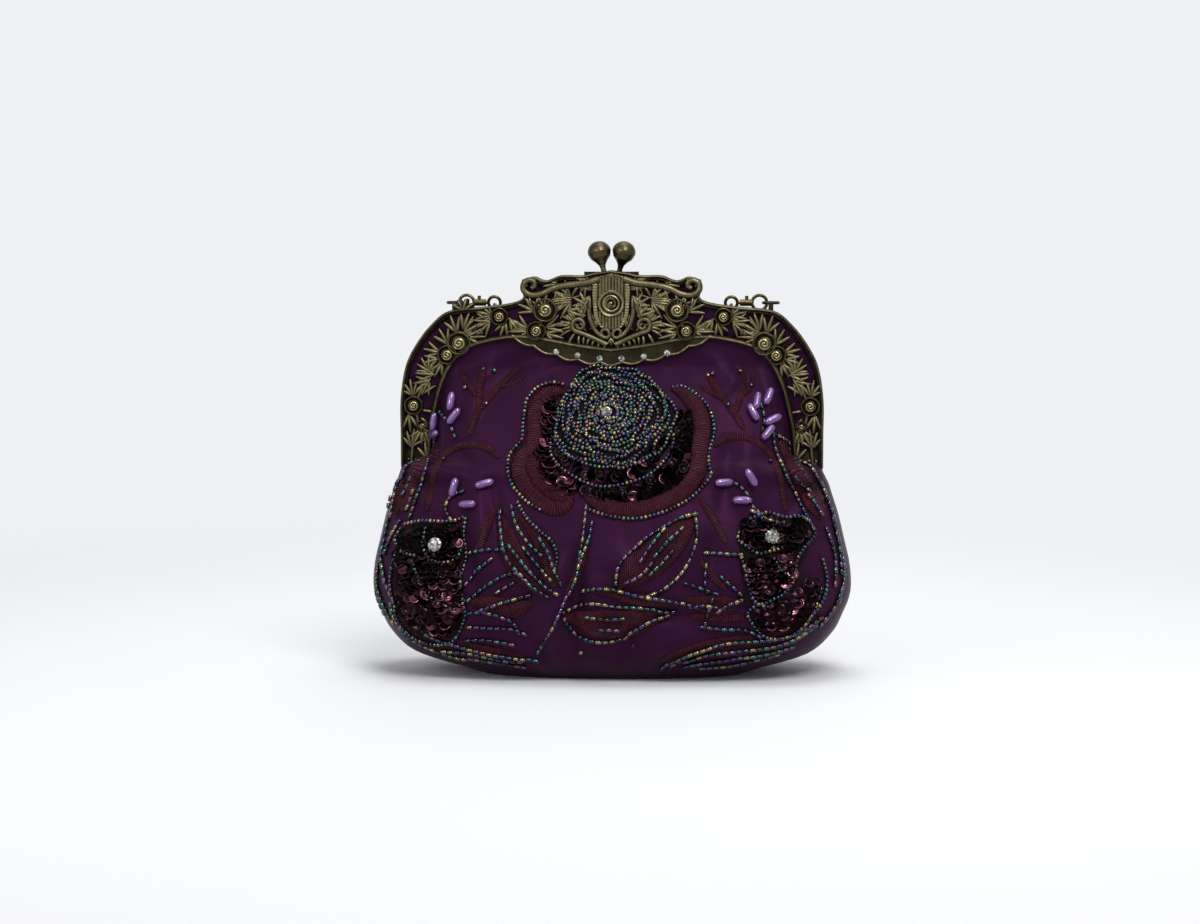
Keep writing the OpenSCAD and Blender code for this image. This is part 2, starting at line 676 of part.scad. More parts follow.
// Ring on a post that stands on the casting above the shoulder's rose
module eye() {
    block = wire_r * 3;
    rose_top = on_frame(rose_shares[3])[1] + rose_shares[3][2] * casting_unit;
    low_z = max(chain_z - lock_h * 2, rose_top + cloth_gap);
    translate([eye_x, chain_y, chain_z])
        torus(link_r, wire_r);
    translate([eye_x - block / 2, face_y, low_z])
        cube([block, chain_y - link_r + wire_r - face_y, chain_z + wire_r - low_z]);
}

module swivel_hook() {
    translate([hook_x, chain_y, chain_z]) {
        rotate([90, 0, 0])
            torus(link_r, wire_r);
        rotate([0, -90, 0])
            difference() {
                translate([0, 0, link_r])
                    cylinder(r = neck_r, h = neck_t + wire_r);
                translate([0, 0, link_r + neck_t + wire_r - shank_t])
                    cylinder(r = wire_r + foot_fit, h = shank_t + cut);
            }
    }
}

module hook_gate() {
    translate([hook_x - link_r - neck_t / 2, chain_y, chain_z + neck_r])
        cylinder(r = neck_r / 2, h = neck_r);
}

module swivel_ring() {
    translate([ring_x, chain_y, chain_z])
        rotate([chain_lean, 0, 0]) {
            rotate([90, 0, 0])
                torus(ring_r, wire_r);
            translate([ring_r, 0, 0])
                rotate([0, 90, 0])
                    cylinder(r = wire_r, h = shank_t);
        }
}

// The hanging chain is a catenary: its links sit at equal steps of arc length
function asinh(v) = ln(v + sqrt(v * v + 1));
// The last link's wire lies in the swivel's ring, one link radius beyond its middle
chain_s = (link_count - 1) / 2 * link_pitch + link_r;
// Scale of the catenary with the given half span and half length, by halving an interval
halvings = 40;
function catenary(half_span, half_length, low, high, left) =
    let (mid = (low + high) / 2)
    left == 0 ? mid
        : mid * asinh(half_length / mid) < half_span
        ? catenary(half_span, half_length, mid, high, left - 1)
        : catenary(half_span, half_length, low, mid, left - 1);
chain_scale = catenary(ring_x, chain_s, wire_r, chain_s, halvings);
chain_sag = norm([chain_scale, chain_s]) - chain_scale;
chain_length = chain_sag + anchor_drop;
chain_low_share = 0.948;
chain_low_z = chain_z - chain_length * chain_low_share;
chain_lean = asin((bag_depth(0, chain_low_z) + link_r + wire_r + chain_rest - chain_y)
    / chain_length);

module links() {
    translate([0, chain_y, chain_z])
        rotate([chain_lean, 0, 0])
            for (i = [0 : link_count - 1])
                let (
                    s = (i - (link_count - 1) / 2) * link_pitch,
                    x = chain_scale * asinh(s / chain_scale),
                    rise = norm([chain_scale, s]) - chain_scale)
                    translate([x, 0, rise - chain_sag - anchor_drop])
                        rotate([0, -atan2(s, chain_scale), 0])
                            rotate([i % 2 * 90, 0, 0])
                                torus(link_r, wire_r);
}

module pouch_shell() {
    color("#4a2049")
        difference() {
            cup(0, satin_t, levels);
            for (side = [-1, 1])
                translate([side * (panel_half_w - cloth_gap), 0, hinge_z])
                    rotate([0, 90 * side, 0])
                        cylinder(r = notch_r, h = bag_half_w);
        }
}
module pouch_wadding() {
    color("#e8e2da") cup(satin_t, satin_t + wadding_t, layer_levels);
}
module pouch_lining() {
    color("#2c1430")
        cup(satin_t + wadding_t, satin_t + wadding_t + lining_t, layer_levels);
}
module slip_pocket() {
    inset = satin_t + wadding_t + lining_t + cloth_gap;
    half_w = bag_half_w * 0.44;
    rows = 5;
    columns = 9;
    grid = [for (layer = [0, lining_t]) [for (r = [0 : rows - 1]) for (c = [0 : columns - 1])
        let (
            x = half_w * (2 * c / (columns - 1) - 1),
            z = hinge_z * (0.24 + 0.5 * r / (rows - 1)))
        [x, body_depth(x, z) - inset * 1.25 - layer, z]]];
    color("#2c1430") sheet(grid[1], grid[0], rows, columns);
}
module hinge_rivets() {
    low_x = back_ear_x - ear_t / 2 - ear_gap - rivet_head_t;
    high_x = front_ear_x + ear_t / 2 + ear_gap;
    color("#5c5230")
        for (side = [0, 1])
            mirror([side, 0, 0])
                translate([low_x, 0, hinge_z])
                    rotate([0, 90, 0]) {
                        cylinder(r = rivet_head_r, h = rivet_head_t);
                        cylinder(r = rivet_r, h = high_x - low_x + rivet_head_t / 2);
                        translate([0, 0, high_x - low_x])
                            cylinder(r = rivet_head_r, h = rivet_head_t);
                    }
}
module sequin_flowers() {
    color("#5a2a3a")
        for (shares = flower_shares)
            pad(shares, flower_rise);
}
module padded_leaves() {
    color("#4a1a30")
        for (shares = leaf_pad_shares)
            pad(shares, leaf_rise);
}
module padded_petals() {
    color("#4a1a30")
        for (shares = petal_pad_shares)
            pad(shares, petal_rise);
}
module flower_crystals() {
    color("#f0f4fa")
        for (share = flower_crystal_shares)
            on_body(share, pad_edge_t + flower_rise + cloth_gap * 2)
                crystal(flower_crystal_r, flower_crystal_t);
}
module lower_pearls() {
    color("#b59ae0")
        for (share = lower_pearl_shares)
            on_body(share, pearl_r + cloth_gap)
                rotate([0, share[2], 0]) pearl(pearl_l, pearl_r);
}
module front_frame_channel() {
    color("#5c5230") frame_channel(front_ear_x);
}
module front_openwork() {
    color("#8a7a4a") openwork(rose_relief);
}
module front_strip() {
    color("#4a2049") strip();
}
module front_apron() {
    color("#5c5230") apron();
}
module apron_crystals() {
    color("#f0f4fa")
        for (share = apron_crystal_shares)
            for (side = [-1, 1])
                let (place = on_frame(share))
                    translate([side * place[0], -openwork_y - apron_t, place[1]])
                        crystal(apron_crystal_r, crystal_t);
}
module front_panel() {
    color("#5a2a58") upper_panel(0, satin_t);
}
module front_panel_lining() {
    color("#2c1430") upper_panel(satin_t, satin_t + lining_t);
}
module front_lock_plate() {
    color("#3a3424") lock_plate();
}
module front_lock_rivets() {
    color("#8a7a4a") lock_rivets();
}
module shoulder_pearls() {
    color("#b59ae0")
        for (share = shoulder_pearl_shares)
            on_panel(share, pearl_r + cloth_gap)
                rotate([0, share[2], 0]) pearl(pearl_l, pearl_r);
}
module rose_bead_disc() {
    color("#2f6a6a")
        on_panel(rose_disc_share, cloth_gap)
            rotate([90, 0, 0])
                rotate_extrude()
                    polygon([[0, 0], [rose_disc_r, 0], [rose_disc_r, rose_disc_t],
                        [rose_disc_r * 0.7, rose_disc_t + rose_disc_bulge * 0.7],
                        [rose_crystal_r * 1.5, rose_disc_t + rose_disc_bulge],
                        [0, rose_disc_t + rose_disc_bulge]]);
}
module rose_crystal() {
    color("#f0f4fa")
        on_panel(rose_disc_share, cloth_gap + rose_disc_t + rose_disc_bulge)
            crystal(rose_crystal_r, flower_crystal_t);
}
module front_knob() {
    color("#8a7a4a") knob();
}
module back_frame_channel() {
    color("#5c5230") mirror([0, 1, 0]) frame_channel(back_ear_x);
}
module back_openwork() {
    color("#8a7a4a") mirror([0, 1, 0]) openwork(back_rose_relief);
}
module back_strip() {
    color("#4a2049") mirror([0, 1, 0]) strip();
}
module back_apron() {
    color("#5c5230") mirror([0, 1, 0]) apron();
}
module back_panel() {
    color("#5a2a58") mirror([0, 1, 0]) upper_panel(0, satin_t);
}
module back_panel_lining() {
    color("#2c1430") mirror([0, 1, 0]) upper_panel(satin_t, satin_t + lining_t);
}
module back_lock_plate() {
    color("#3a3424") rotate(180) lock_plate();
}
module back_lock_rivets() {
    color("#8a7a4a") rotate(180) lock_rivets();
}
module shoulder_eyes() {
    color("#6f6238")
        for (side = [0, 1])
            mirror([side, 0, 0]) eye();
}
module back_knob() {
    color("#8a7a4a") rotate(180) knob();
}
module swivel_hooks() {
    color("#8a6a48")
        for (side = [0, 1])
            mirror([side, 0, 0]) swivel_hook();
}
module hook_gates() {
    color("#8a6a48")
        for (side = [0, 1])
            mirror([side, 0, 0]) hook_gate();
}
module swivel_rings() {
    color("#8a6a48")
        for (side = [0, 1])
            mirror([side, 0, 0]) swivel_ring();
}
module chain_links() {
    color("#8a6a48") links();
}

pouch_shell();
pouch_wadding();
pouch_lining();
slip_pocket();
hinge_rivets();
sequin_flowers();
padded_leaves();
padded_petals();
flower_crystals();
lower_pearls();
front_frame_channel();
front_openwork();
front_strip();
front_apron();
apron_crystals();
front_panel();
front_panel_lining();
front_lock_plate();
front_lock_rivets();
shoulder_pearls();
rose_bead_disc();
rose_crystal();
front_knob();
back_frame_channel();
back_openwork();
back_strip();
back_apron();
back_panel();
back_panel_lining();
back_lock_plate();
back_lock_rivets();
shoulder_eyes();
back_knob();
swivel_hooks();
hook_gates();
swivel_rings();
chain_links();
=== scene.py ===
"""Looks of the beaded evening clutch: satin, beadwork, cast frame, knobs and chain."""

import math

import bmesh
import bpy
import numpy as np
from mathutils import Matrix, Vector


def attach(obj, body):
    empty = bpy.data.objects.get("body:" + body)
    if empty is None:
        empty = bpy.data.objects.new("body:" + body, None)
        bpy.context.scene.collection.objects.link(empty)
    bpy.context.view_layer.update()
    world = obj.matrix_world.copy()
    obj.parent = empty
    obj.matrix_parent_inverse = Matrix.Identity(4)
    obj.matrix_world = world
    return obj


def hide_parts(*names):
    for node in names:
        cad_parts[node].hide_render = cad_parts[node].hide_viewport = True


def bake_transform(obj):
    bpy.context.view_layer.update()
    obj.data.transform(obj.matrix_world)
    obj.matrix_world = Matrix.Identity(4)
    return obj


bl_info = {
    "name": "Beaded evening clutch",
    "version": (1, 0, 0),
    "blender": (4, 5, 0),
    "location": "View3D > Sidebar > Clutch",
    "description": "Builds the looks of the clutch on its packed frame",
    "category": "Object",
}

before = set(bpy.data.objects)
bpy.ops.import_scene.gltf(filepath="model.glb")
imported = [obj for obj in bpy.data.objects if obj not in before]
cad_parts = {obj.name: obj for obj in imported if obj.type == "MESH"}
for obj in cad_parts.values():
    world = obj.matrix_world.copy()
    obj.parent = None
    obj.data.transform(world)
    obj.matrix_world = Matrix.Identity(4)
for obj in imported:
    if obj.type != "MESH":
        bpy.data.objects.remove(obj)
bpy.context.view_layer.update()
MM = 0.001

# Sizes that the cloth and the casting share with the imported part, in millimetres
HINGE_Z = 88.0
FRAME_HALF_W = 90.7
FRAME_H = 84.4
BAG_HALF_W = 103.0
BAG_HALF_D = 42.5
PANEL_HALF_W = 77.9
PANEL_FOOT_D = 25.9
PANEL_EDGE_D = 2.35
# The front and back cloth meet at the sides up to the seam's top, and above it each reaches the
# opening of its own half
SEAM_TOP = 84
OPENING_HALF_W = 77.4
STRIP_FOOT = 93.5
POUCH_SQUARENESS, PANEL_SQUARENESS = 2.4, 2.7
# How deep the satin's inner face and the lining's two faces lie under the satin's outer face
SATIN_THICK, LINING_FACES = .8, (1.4, 3.0)
# Slip pocket: half width and the heights of its foot and mouth as shares, how far it stands off
# the wall, its cloth and the hem along its mouth
POCKET_HALF_W, POCKET_FOOT, POCKET_MOUTH = .44, .24, .74
POCKET_GAP, POCKET_CLOTH, POCKET_HEM = 5.0, .7, .5
# Satin behind the openwork: its flat back, its edge and how far it puffs out
STRIP_BACK, STRIP_EDGE, STRIP_PUFF = 1.55, 1.75, 1.5
# Face of the channel that the casting stands on
CAST_Y = 3.2
# Cloth near the frame: depth at its inner edge, how far in and how far up it is drawn in
TUCK_DEPTH, TUCK_IN, TUCK_UP = 2.6, 7, 8
# Small gathers fan out from a point on the middle line
GATHERS, GATHER_RISE, GATHER_Z = 46, .16, 60
FOLD_RISE = 2.3

# The front view that the shapes were measured in: pixels for a millimetre, and the column and
# row of the bag's middle on the ground
VIEW_SCALE, MIDDLE_COLUMN, GROUND_ROW = 2.32, 611.5, 671

BODY_SHARES = [
    [0, .56, .62], [.03, .64, .72], [.1, .83, .87], [.2, .925, .96], [.3, .97, .995], [.4, 1, 1],
    [.53, .995, .96], [.66, .97, .885], [.78, .945, .8], [.9, .912, .7], [1, .8855, .6353]]
OUTER_SHARES = [
    [1, 0], [1, .17], [1, .341], [.977, .505], [.929, .617], [.853, .724], [.763, .796],
    [.596, .816], [.47, .836], [.416, .863], [.428, .915], [.411, .944], [.368, .969],
    [.307, .949], [.235, .975], [.136, .975], [.07, .99], [0, 1]]
INNER_SHARES = [
    [.86, 0], [.853, .162], [.834, .275], [.796, .428], [.744, .533], [.662, .609],
    [.507, .65], [.401, .653], [.298, .637], [.165, .61], [0, .586]]
PANEL_DEPTH_SHARES = [
    [-.024, 1.02], [0, 1], [.142, .8], [.26, .61], [.38, .41], [.46, .24], [.51, .116], [.66, .116]]
# Where the cloth leaves the hinges: height, half width, half depth, squareness, depth at its edge
WAIST_ROWS = [
    [86, 90.8, 27.4, 2.45, 6.2], [88.6, 90, 26.25, 2.5, 6.6], [89.8, 87.8, 25.7, 2.55, 6.4],
    [90.8, 83.4, 25.2, 2.6, 5.6], [91.8, 79.6, 24.7, 2.65, 4], [92.8, 78.1, 24.2, 2.7, 2.35]]
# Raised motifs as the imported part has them: across, up and half width as shares
FLOWER_PADS = [
    [[-.718, .753, .03], [-.725, .697, .113], [-.727, .594, .129], [-.728, .481, .133],
     [-.724, .367, .12], [-.713, .305, .075], [-.7, .272, .03]],
    [[.683, .785, .04], [.679, .727, .121], [.671, .625, .138], [.66, .524, .105],
     [.683, .438, .138], [.71, .362, .1], [.7, .3, .04]]]
LEAF_PADS = [
    [[.358, .79, .01], [.318, .745, .04], [.262, .682, .061], [.194, .607, .069],
     [.122, .539, .053], [.046, .463, .01]],
    [[-.18, .33, .01], [-.117, .313, .036], [-.035, .298, .057], [.054, .292, .061],
     [.142, .311, .049], [.25, .35, .01]],
    [[-.445, .79, .01], [-.42, .716, .036], [-.39, .621, .05], [-.34, .524, .044],
     [-.26, .43, .01]],
    [[-.36, .79, .01], [-.31, .735, .024], [-.262, .645, .03], [-.225, .546, .026],
     [-.205, .47, .01]],
    [[-.56, .385, .01], [-.492, .38, .036], [-.422, .36, .045], [-.356, .365, .036],
     [-.303, .39, .01]],
    [[.32, .407, .01], [.392, .387, .036], [.465, .377, .044], [.53, .395, .01]],
    [[-.06, .451, .01], [0, .445, .018], [.11, .41, .024], [.2, .4, .022], [.29, .39, .01]],
    [[-.89, .33, .012], [-.83, .25, .034], [-.735, .19, .042], [-.616, .157, .04],
     [-.482, .138, .03], [-.342, .115, .01]],
    [[.222, .112, .01], [.336, .15, .034], [.466, .175, .044], [.603, .186, .046],
     [.742, .222, .042], [.865, .305, .012]],
    [[-.862, .925, .02], [-.875, .88, .03], [-.885, .83, .03], [-.898, .77, .012]],
    [[.785, .93, .02], [.815, .88, .034], [.845, .83, .034], [.875, .77, .012]],
    [[-.091, .7, .018], [-.1, .62, .02], [-.125, .52, .018], [-.16, .42, .014]]]
FLOWER_RISE, LEAF_RISE, PAD_EDGE = 1.5, 1.2, .7


def spline(points, steps):
    """Smooth line through the points, as the frame's edges are drawn."""
    p = np.asarray(points, float)
    p = np.vstack([p[:1], p, p[-1:]])
    t = (np.arange(steps) / steps)[:, None]
    rows = [
        (2 * b + (c - a) * t + (2 * a - 5 * b + 4 * c - d) * t * t
         + (3 * b - a - 3 * c + d) * t ** 3) / 2
        for a, b, c, d in zip(p[:-3], p[1:-2], p[2:-1], p[3:])]
    return np.vstack([*rows, p[-1:]])


def on_frame(shares):
    """Places on the frame, in millimetres, from shares of its half width and height."""
    return np.asarray(shares, float) * [FRAME_HALF_W, FRAME_H] + [0, HINGE_Z]


def both_sides(half):
    """The line and its mirror image, from the right foot to the left one."""
    return np.vstack([half, half[:-1][::-1] * [-1, 1]])


def evenly(path, count):
    """The path with that many points at equal steps."""
    path = np.asarray(path, float)
    run = np.concatenate([[0], np.cumsum(np.linalg.norm(np.diff(path, axis=0), axis=1))])
    want = np.linspace(0, run[-1], count)
    return np.stack([np.interp(want, run, path[:, k]) for k in range(path.shape[1])], axis=1)


def unit(vectors):
    """The vectors, or the one vector, at length one."""
    return vectors / np.linalg.norm(vectors, axis=-1, keepdims=True)


OUTER_PATH = both_sides(spline(on_frame(OUTER_SHARES), 6))
INNER_PATH = both_sides(spline(on_frame(INNER_SHARES), 6))
INNER_HALF = INNER_PATH[: len(INNER_PATH) // 2 + 1][::-1]


def profile_rows():
    """Half width, half depth, squareness and edge depth of the cloth at each height."""
    body = spline(BODY_SHARES, 4)
    rows = [[s * HINGE_Z, w * BAG_HALF_W, d * BAG_HALF_D, POUCH_SQUARENESS, 0]
            for s, w, d in body if s <= .955]
    rows += WAIST_ROWS
    for share in np.linspace(.142, .7, 26):
        foot = np.interp(share, *np.transpose(PANEL_DEPTH_SHARES)) * PANEL_FOOT_D
        rows.append([HINGE_Z + share * FRAME_H, PANEL_HALF_W, foot, PANEL_SQUARENESS,
                     PANEL_EDGE_D])
    return np.array(rows)


PROFILE = profile_rows()


def cloth_row(z):
    """The profile's values at heights z."""
    return [np.interp(z, PROFILE[:, 0], PROFILE[:, k]) for k in range(1, 5)]


def nearest(x, z, start, end):
    """Share of the way from start to end that is nearest to each place, and its distance."""
    (ax, az), (bx, bz) = start, end
    dx, dz = bx - ax, bz - az
    t = np.clip(((x - ax) * dx + (z - az) * dz) / (dx * dx + dz * dz), 0, 1)
    return t, np.hypot(x - ax - t * dx, z - az - t * dz)


def edge_gap(x, z):
    """How far a place lies inside the frame's inner edge."""
    best = np.full(np.shape(x), 1e9)
    for start, end in zip(INNER_PATH[:-1], INNER_PATH[1:]):
        best = np.minimum(best, nearest(x, z, start, end)[1])
    return best


def from_view(column, row):
    """Place across and up, in millimetres, of a pixel of the front view."""
    return (column - MIDDLE_COLUMN) / VIEW_SCALE, (GROUND_ROW - row) / VIEW_SCALE


# Folds and puckers of the front: two ends in pixels of the view, half width and height in mm
FRONT_FOLDS = [
    [(505, 352), (468, 392), 3.2, .9], [(530, 352), (482, 415), 3.6, -.7],
    [(560, 358), (520, 378), 3.0, .7], [(700, 352), (742, 385), 3.4, .8],
    [(730, 352), (760, 400), 3.2, -.8], [(748, 366), (716, 396), 2.6, .6],
    [(478, 380), (470, 440), 3.4, .9], [(452, 440), (486, 470), 3.0, -.7],
    [(729, 430), (723, 512), 4.2, -1.0], [(744, 440), (752, 520), 3.6, .9],
    [(495, 470), (512, 560), 4.4, -.9], [(480, 470), (492, 560), 3.8, .9],
    [(586, 530), (578, 662), 3.8, -1.4], [(566, 540), (556, 640), 4.4, 1.1],
    [(604, 560), (600, 655), 4.0, .9], [(640, 610), (700, 598), 3.6, -1.2],
    [(650, 640), (705, 622), 3.8, 1.2], [(672, 655), (716, 636), 3.0, -1.2],
    [(620, 650), (640, 600), 3.2, -.8], [(520, 600), (560, 655), 3.6, -.9],
    [(470, 520), (490, 610), 3.4, -.9], [(712, 520), (700, 600), 3.6, -.9],
    [(412, 468), (440, 486), 2.6, -.9], [(414, 480), (436, 505), 2.6, .8],
    [(815, 478), (786, 500), 2.8, -.9], [(812, 492), (790, 515), 2.6, .8],
    [(660, 520), (690, 545), 4.0, .7], [(610, 530), (650, 580), 5.0, .8]]
# The same for the back, seen from behind
BACK_FOLDS = [
    [(470, 352), (500, 430), 4.2, .9], [(520, 352), (530, 440), 4.6, -.8],
    [(560, 356), (566, 460), 4.8, .8], [(640, 356), (632, 450), 4.8, -.8],
    [(690, 352), (676, 450), 4.4, .9], [(745, 352), (715, 430), 4.0, -.9],
    [(420, 470), (470, 500), 3.0, -1.0], [(418, 486), (462, 530), 3.2, .9],
    [(812, 470), (760, 500), 3.0, -1.0], [(812, 488), (768, 532), 3.2, .9],
    [(500, 520), (520, 650), 5.0, -1.0], [(560, 540), (566, 660), 5.0, 1.0],
    [(660, 540), (650, 660), 5.2, -1.1], [(720, 520), (700, 650), 5.0, 1.0],
    [(610, 500), (612, 640), 6.0, .7]]


def pad_line(shares):
    """Middle line and half width of a motif, in millimetres."""
    return spline(shares, 4) * [BAG_HALF_W, HINGE_Z, BAG_HALF_W]


PAD_LINES = [(pad_line(shares), rise) for group, rise in (
    (FLOWER_PADS, FLOWER_RISE), (LEAF_PADS, LEAF_RISE)) for shares in group]


def relief(x, z):
    """Height of the padded motifs over the cloth."""
    high = np.zeros(np.shape(x))
    for line, rise in PAD_LINES:
        full = 1 - np.linspace(-1, 1, len(line)) ** 4
        for k in range(len(line) - 1):
            t, gap = nearest(x, z, line[k, :2], line[k + 1, :2])
            gap = gap / (line[k, 2] + t * (line[k + 1, 2] - line[k, 2]))
            dome = np.sqrt(np.clip(1 - gap * gap, 0, 1)) * (full[k] + t * (full[k + 1] - full[k]))
            high = np.where(gap < 1, np.maximum(high, PAD_EDGE + rise * dome), high)
    return high


def fold_height(x, z, folds):
    """Height of the folds at a place, with small waves over the whole cloth."""
    height = np.zeros(np.shape(x))
    for start, end, width, rise in folds:
        t, gap = nearest(x, z, from_view(*start), from_view(*end))
        height += FOLD_RISE * rise * np.exp(-(gap / width) ** 2) * (1 - .9 * (2 * t - 1) ** 2)
    height += .2 * np.sin(x * .31 + z * .17) * np.sin(z * .23 - x * .11 + 1.3)
    height += .06 * np.sin(x * .71 - z * .53 + .7) * np.sin(z * .61 + x * .37)
    return height


def cloth_depth(x, z, folds=FRONT_FOLDS):
    """How far the cloth stands out from the bag's middle plane at a place in the front view."""
    half_w, half_d, power, edge = cloth_row(z)
    s = np.clip(np.abs(x) / half_w, 0, 1)
    depth = edge + np.maximum(half_d - edge, 0) * (1 - s ** power) ** (1 / power)
    gap = edge_gap(x, z)
    soft = np.clip(gap / TUCK_IN, 0, 1)
    near = np.clip((z - HINGE_Z) / TUCK_UP, 0, 1)
    tuck = 1 - near * (1 - soft * soft * (3 - 2 * soft)) ** 1.5
    depth = TUCK_DEPTH + (depth - TUCK_DEPTH) * np.where(z > HINGE_Z, tuck, 1)
    lift = fold_height(x, z, folds)
    turn = np.arctan2(x, z - GATHER_Z) * GATHERS
    gather = GATHER_RISE * np.sin(turn) * np.exp(-gap / TUCK_IN) * near
    # Folds die out at the side seams, at the frame and at the base
    calm = np.clip((1 - s) * 9, 0, 1) * np.clip(gap / 2, 0, 1) ** near * np.clip(z / 6, 0, 1)
    return depth + (lift + gather) * calm


def cloth_normal(x, z, step=.6):
    """Outward direction of the front cloth."""
    across = (cloth_depth(x + step, z) - cloth_depth(x - step, z)) / (2 * step)
    up = (cloth_depth(x, z + step) - cloth_depth(x, z - step)) / (2 * step)
    return unit(np.stack([-across, -np.ones_like(across), -up], axis=-1))


# The camera stands 1.1 m away, a little to the right and above
CAMERA_TARGET = np.array([-5.0, 0, 90.0])
CAMERA_DISTANCE = 1100.0
CAMERA_AZIMUTH = math.radians(3)
CAMERA_ELEVATION = math.radians(4.5)
CAMERA_LENS = 76.6
SENSOR_WIDTH = 36
VIEW_W, VIEW_H = 1200, 924
CAMERA_BACK = np.array([
    math.sin(CAMERA_AZIMUTH) * math.cos(CAMERA_ELEVATION),
    -math.cos(CAMERA_AZIMUTH) * math.cos(CAMERA_ELEVATION), math.sin(CAMERA_ELEVATION)])
CAMERA_RIGHT = np.array([math.cos(CAMERA_AZIMUTH), math.sin(CAMERA_AZIMUTH), 0])
CAMERA_UP = np.cross(CAMERA_BACK, CAMERA_RIGHT)
CAMERA_PLACE = CAMERA_TARGET + CAMERA_BACK * CAMERA_DISTANCE


def onto_cloth(pixels, lift=0.0):
    """Points on cloth and motifs under pixels of the view, raised by lift, and their facing."""
    p = np.asarray(pixels, float)
    scale = SENSOR_WIDTH / CAMERA_LENS / VIEW_W
    ray = (CAMERA_RIGHT * ((p[:, :1] - VIEW_W / 2) * scale)
           + CAMERA_UP * ((VIEW_H / 2 - p[:, 1:]) * scale) - CAMERA_BACK)
    # Damped steps close in on the depth where each ray meets the cloth, short of the side seams
    y = np.full(len(p), -25.0)
    for _ in range(24):
        spot = CAMERA_PLACE + ray * ((y - CAMERA_PLACE[1]) / ray[:, 1])[:, None]
        half_w = cloth_row(spot[:, 2])[0]
        x = np.clip(spot[:, 0], -half_w * .968, half_w * .968)
        z = np.maximum(spot[:, 2], .5)
        y = y * .4 - .6 * cloth_depth(x, z)
    facing = cloth_normal(x, z)
    place = np.stack([x, -cloth_depth(x, z), z], 1)
    return place + facing * (lift + relief(x, z)[:, None]), facing


def linear(code):
    """Linear colour of an sRGB hex value."""
    value = [int(code[i:i + 2], 16) / 255 for i in (1, 3, 5)]
    return [c / 12.92 if c <= .04045 else ((c + .055) / 1.055) ** 2.4 for c in value]


def rgba(colour):
    """The colour as a socket takes it: a hex value or three linear numbers, made opaque."""
    return (*(linear(colour) if isinstance(colour, str) else colour), 1)


def node(tree, kind, links=None, stops=None, **settings):
    """Adds a node with its settings, and its inputs as values or links."""
    made = tree.nodes.new(kind)
    for name, value in settings.items():
        setattr(made, name, value)
    for name, value in (links or {}).items():
        if isinstance(value, bpy.types.NodeSocket):
            tree.links.new(value, made.inputs[name])
        else:
            made.inputs[name].default_value = value
    for i, (place, colour) in enumerate(stops or []):
        if i < len(made.color_ramp.elements):
            made.color_ramp.elements[i].position = place
        else:
            made.color_ramp.elements.new(place)
        made.color_ramp.elements[i].color = rgba(colour)
    return made


def surface(name, **constants):
    """An empty material with its shader, whose constant sockets are set on the shader itself."""
    made = bpy.data.materials.new(name)
    made.use_nodes = True
    tree = made.node_tree
    tree.nodes.clear()
    links = {key.replace("_", " "): value for key, value in constants.items()}
    shader = node(tree, "ShaderNodeBsdfPrincipled", links)
    node(tree, "ShaderNodeOutputMaterial", {"Surface": shader.outputs[0]})
    return made, tree, shader


def noise(tree, place, scale, detail=2.0, **more):
    """A noise texture's value."""
    links = {"Vector": place, "Scale": scale, "Detail": detail, **more}
    return node(tree, "ShaderNodeTexNoise", links).outputs["Fac"]


def blend_colours(tree, shader, share, dark, light):
    """Colours the shader between two tones."""
    base = node(tree, "ShaderNodeMix", {"Factor": share, 6: rgba(dark), 7: rgba(light)},
                data_type="RGBA")
    tree.links.new(base.outputs[2], shader.inputs["Base Color"])


def ramp_colours(tree, shader, share, stops):
    """Colours the shader along several tones."""
    tone = node(tree, "ShaderNodeValToRGB", {"Fac": share}, stops=stops)
    tree.links.new(tone.outputs[0], shader.inputs["Base Color"])
    return tone.color_ramp


def ramp_roughness(tree, shader, share, rough, smooth):
    """Makes the shader rougher where the share is low."""
    level = node(tree, "ShaderNodeMapRange", {"Value": share, 3: rough, 4: smooth})
    tree.links.new(level.outputs[0], shader.inputs["Roughness"])


def bump(tree, shader, height, strength, distance, **under):
    """Raises the surface by a height, over another bump where one is given."""
    made = node(tree, "ShaderNodeBump", {
        "Height": height, "Strength": strength, "Distance": distance, **under})
    tree.links.new(made.outputs[0], shader.inputs["Normal"])
    return made.outputs[0]


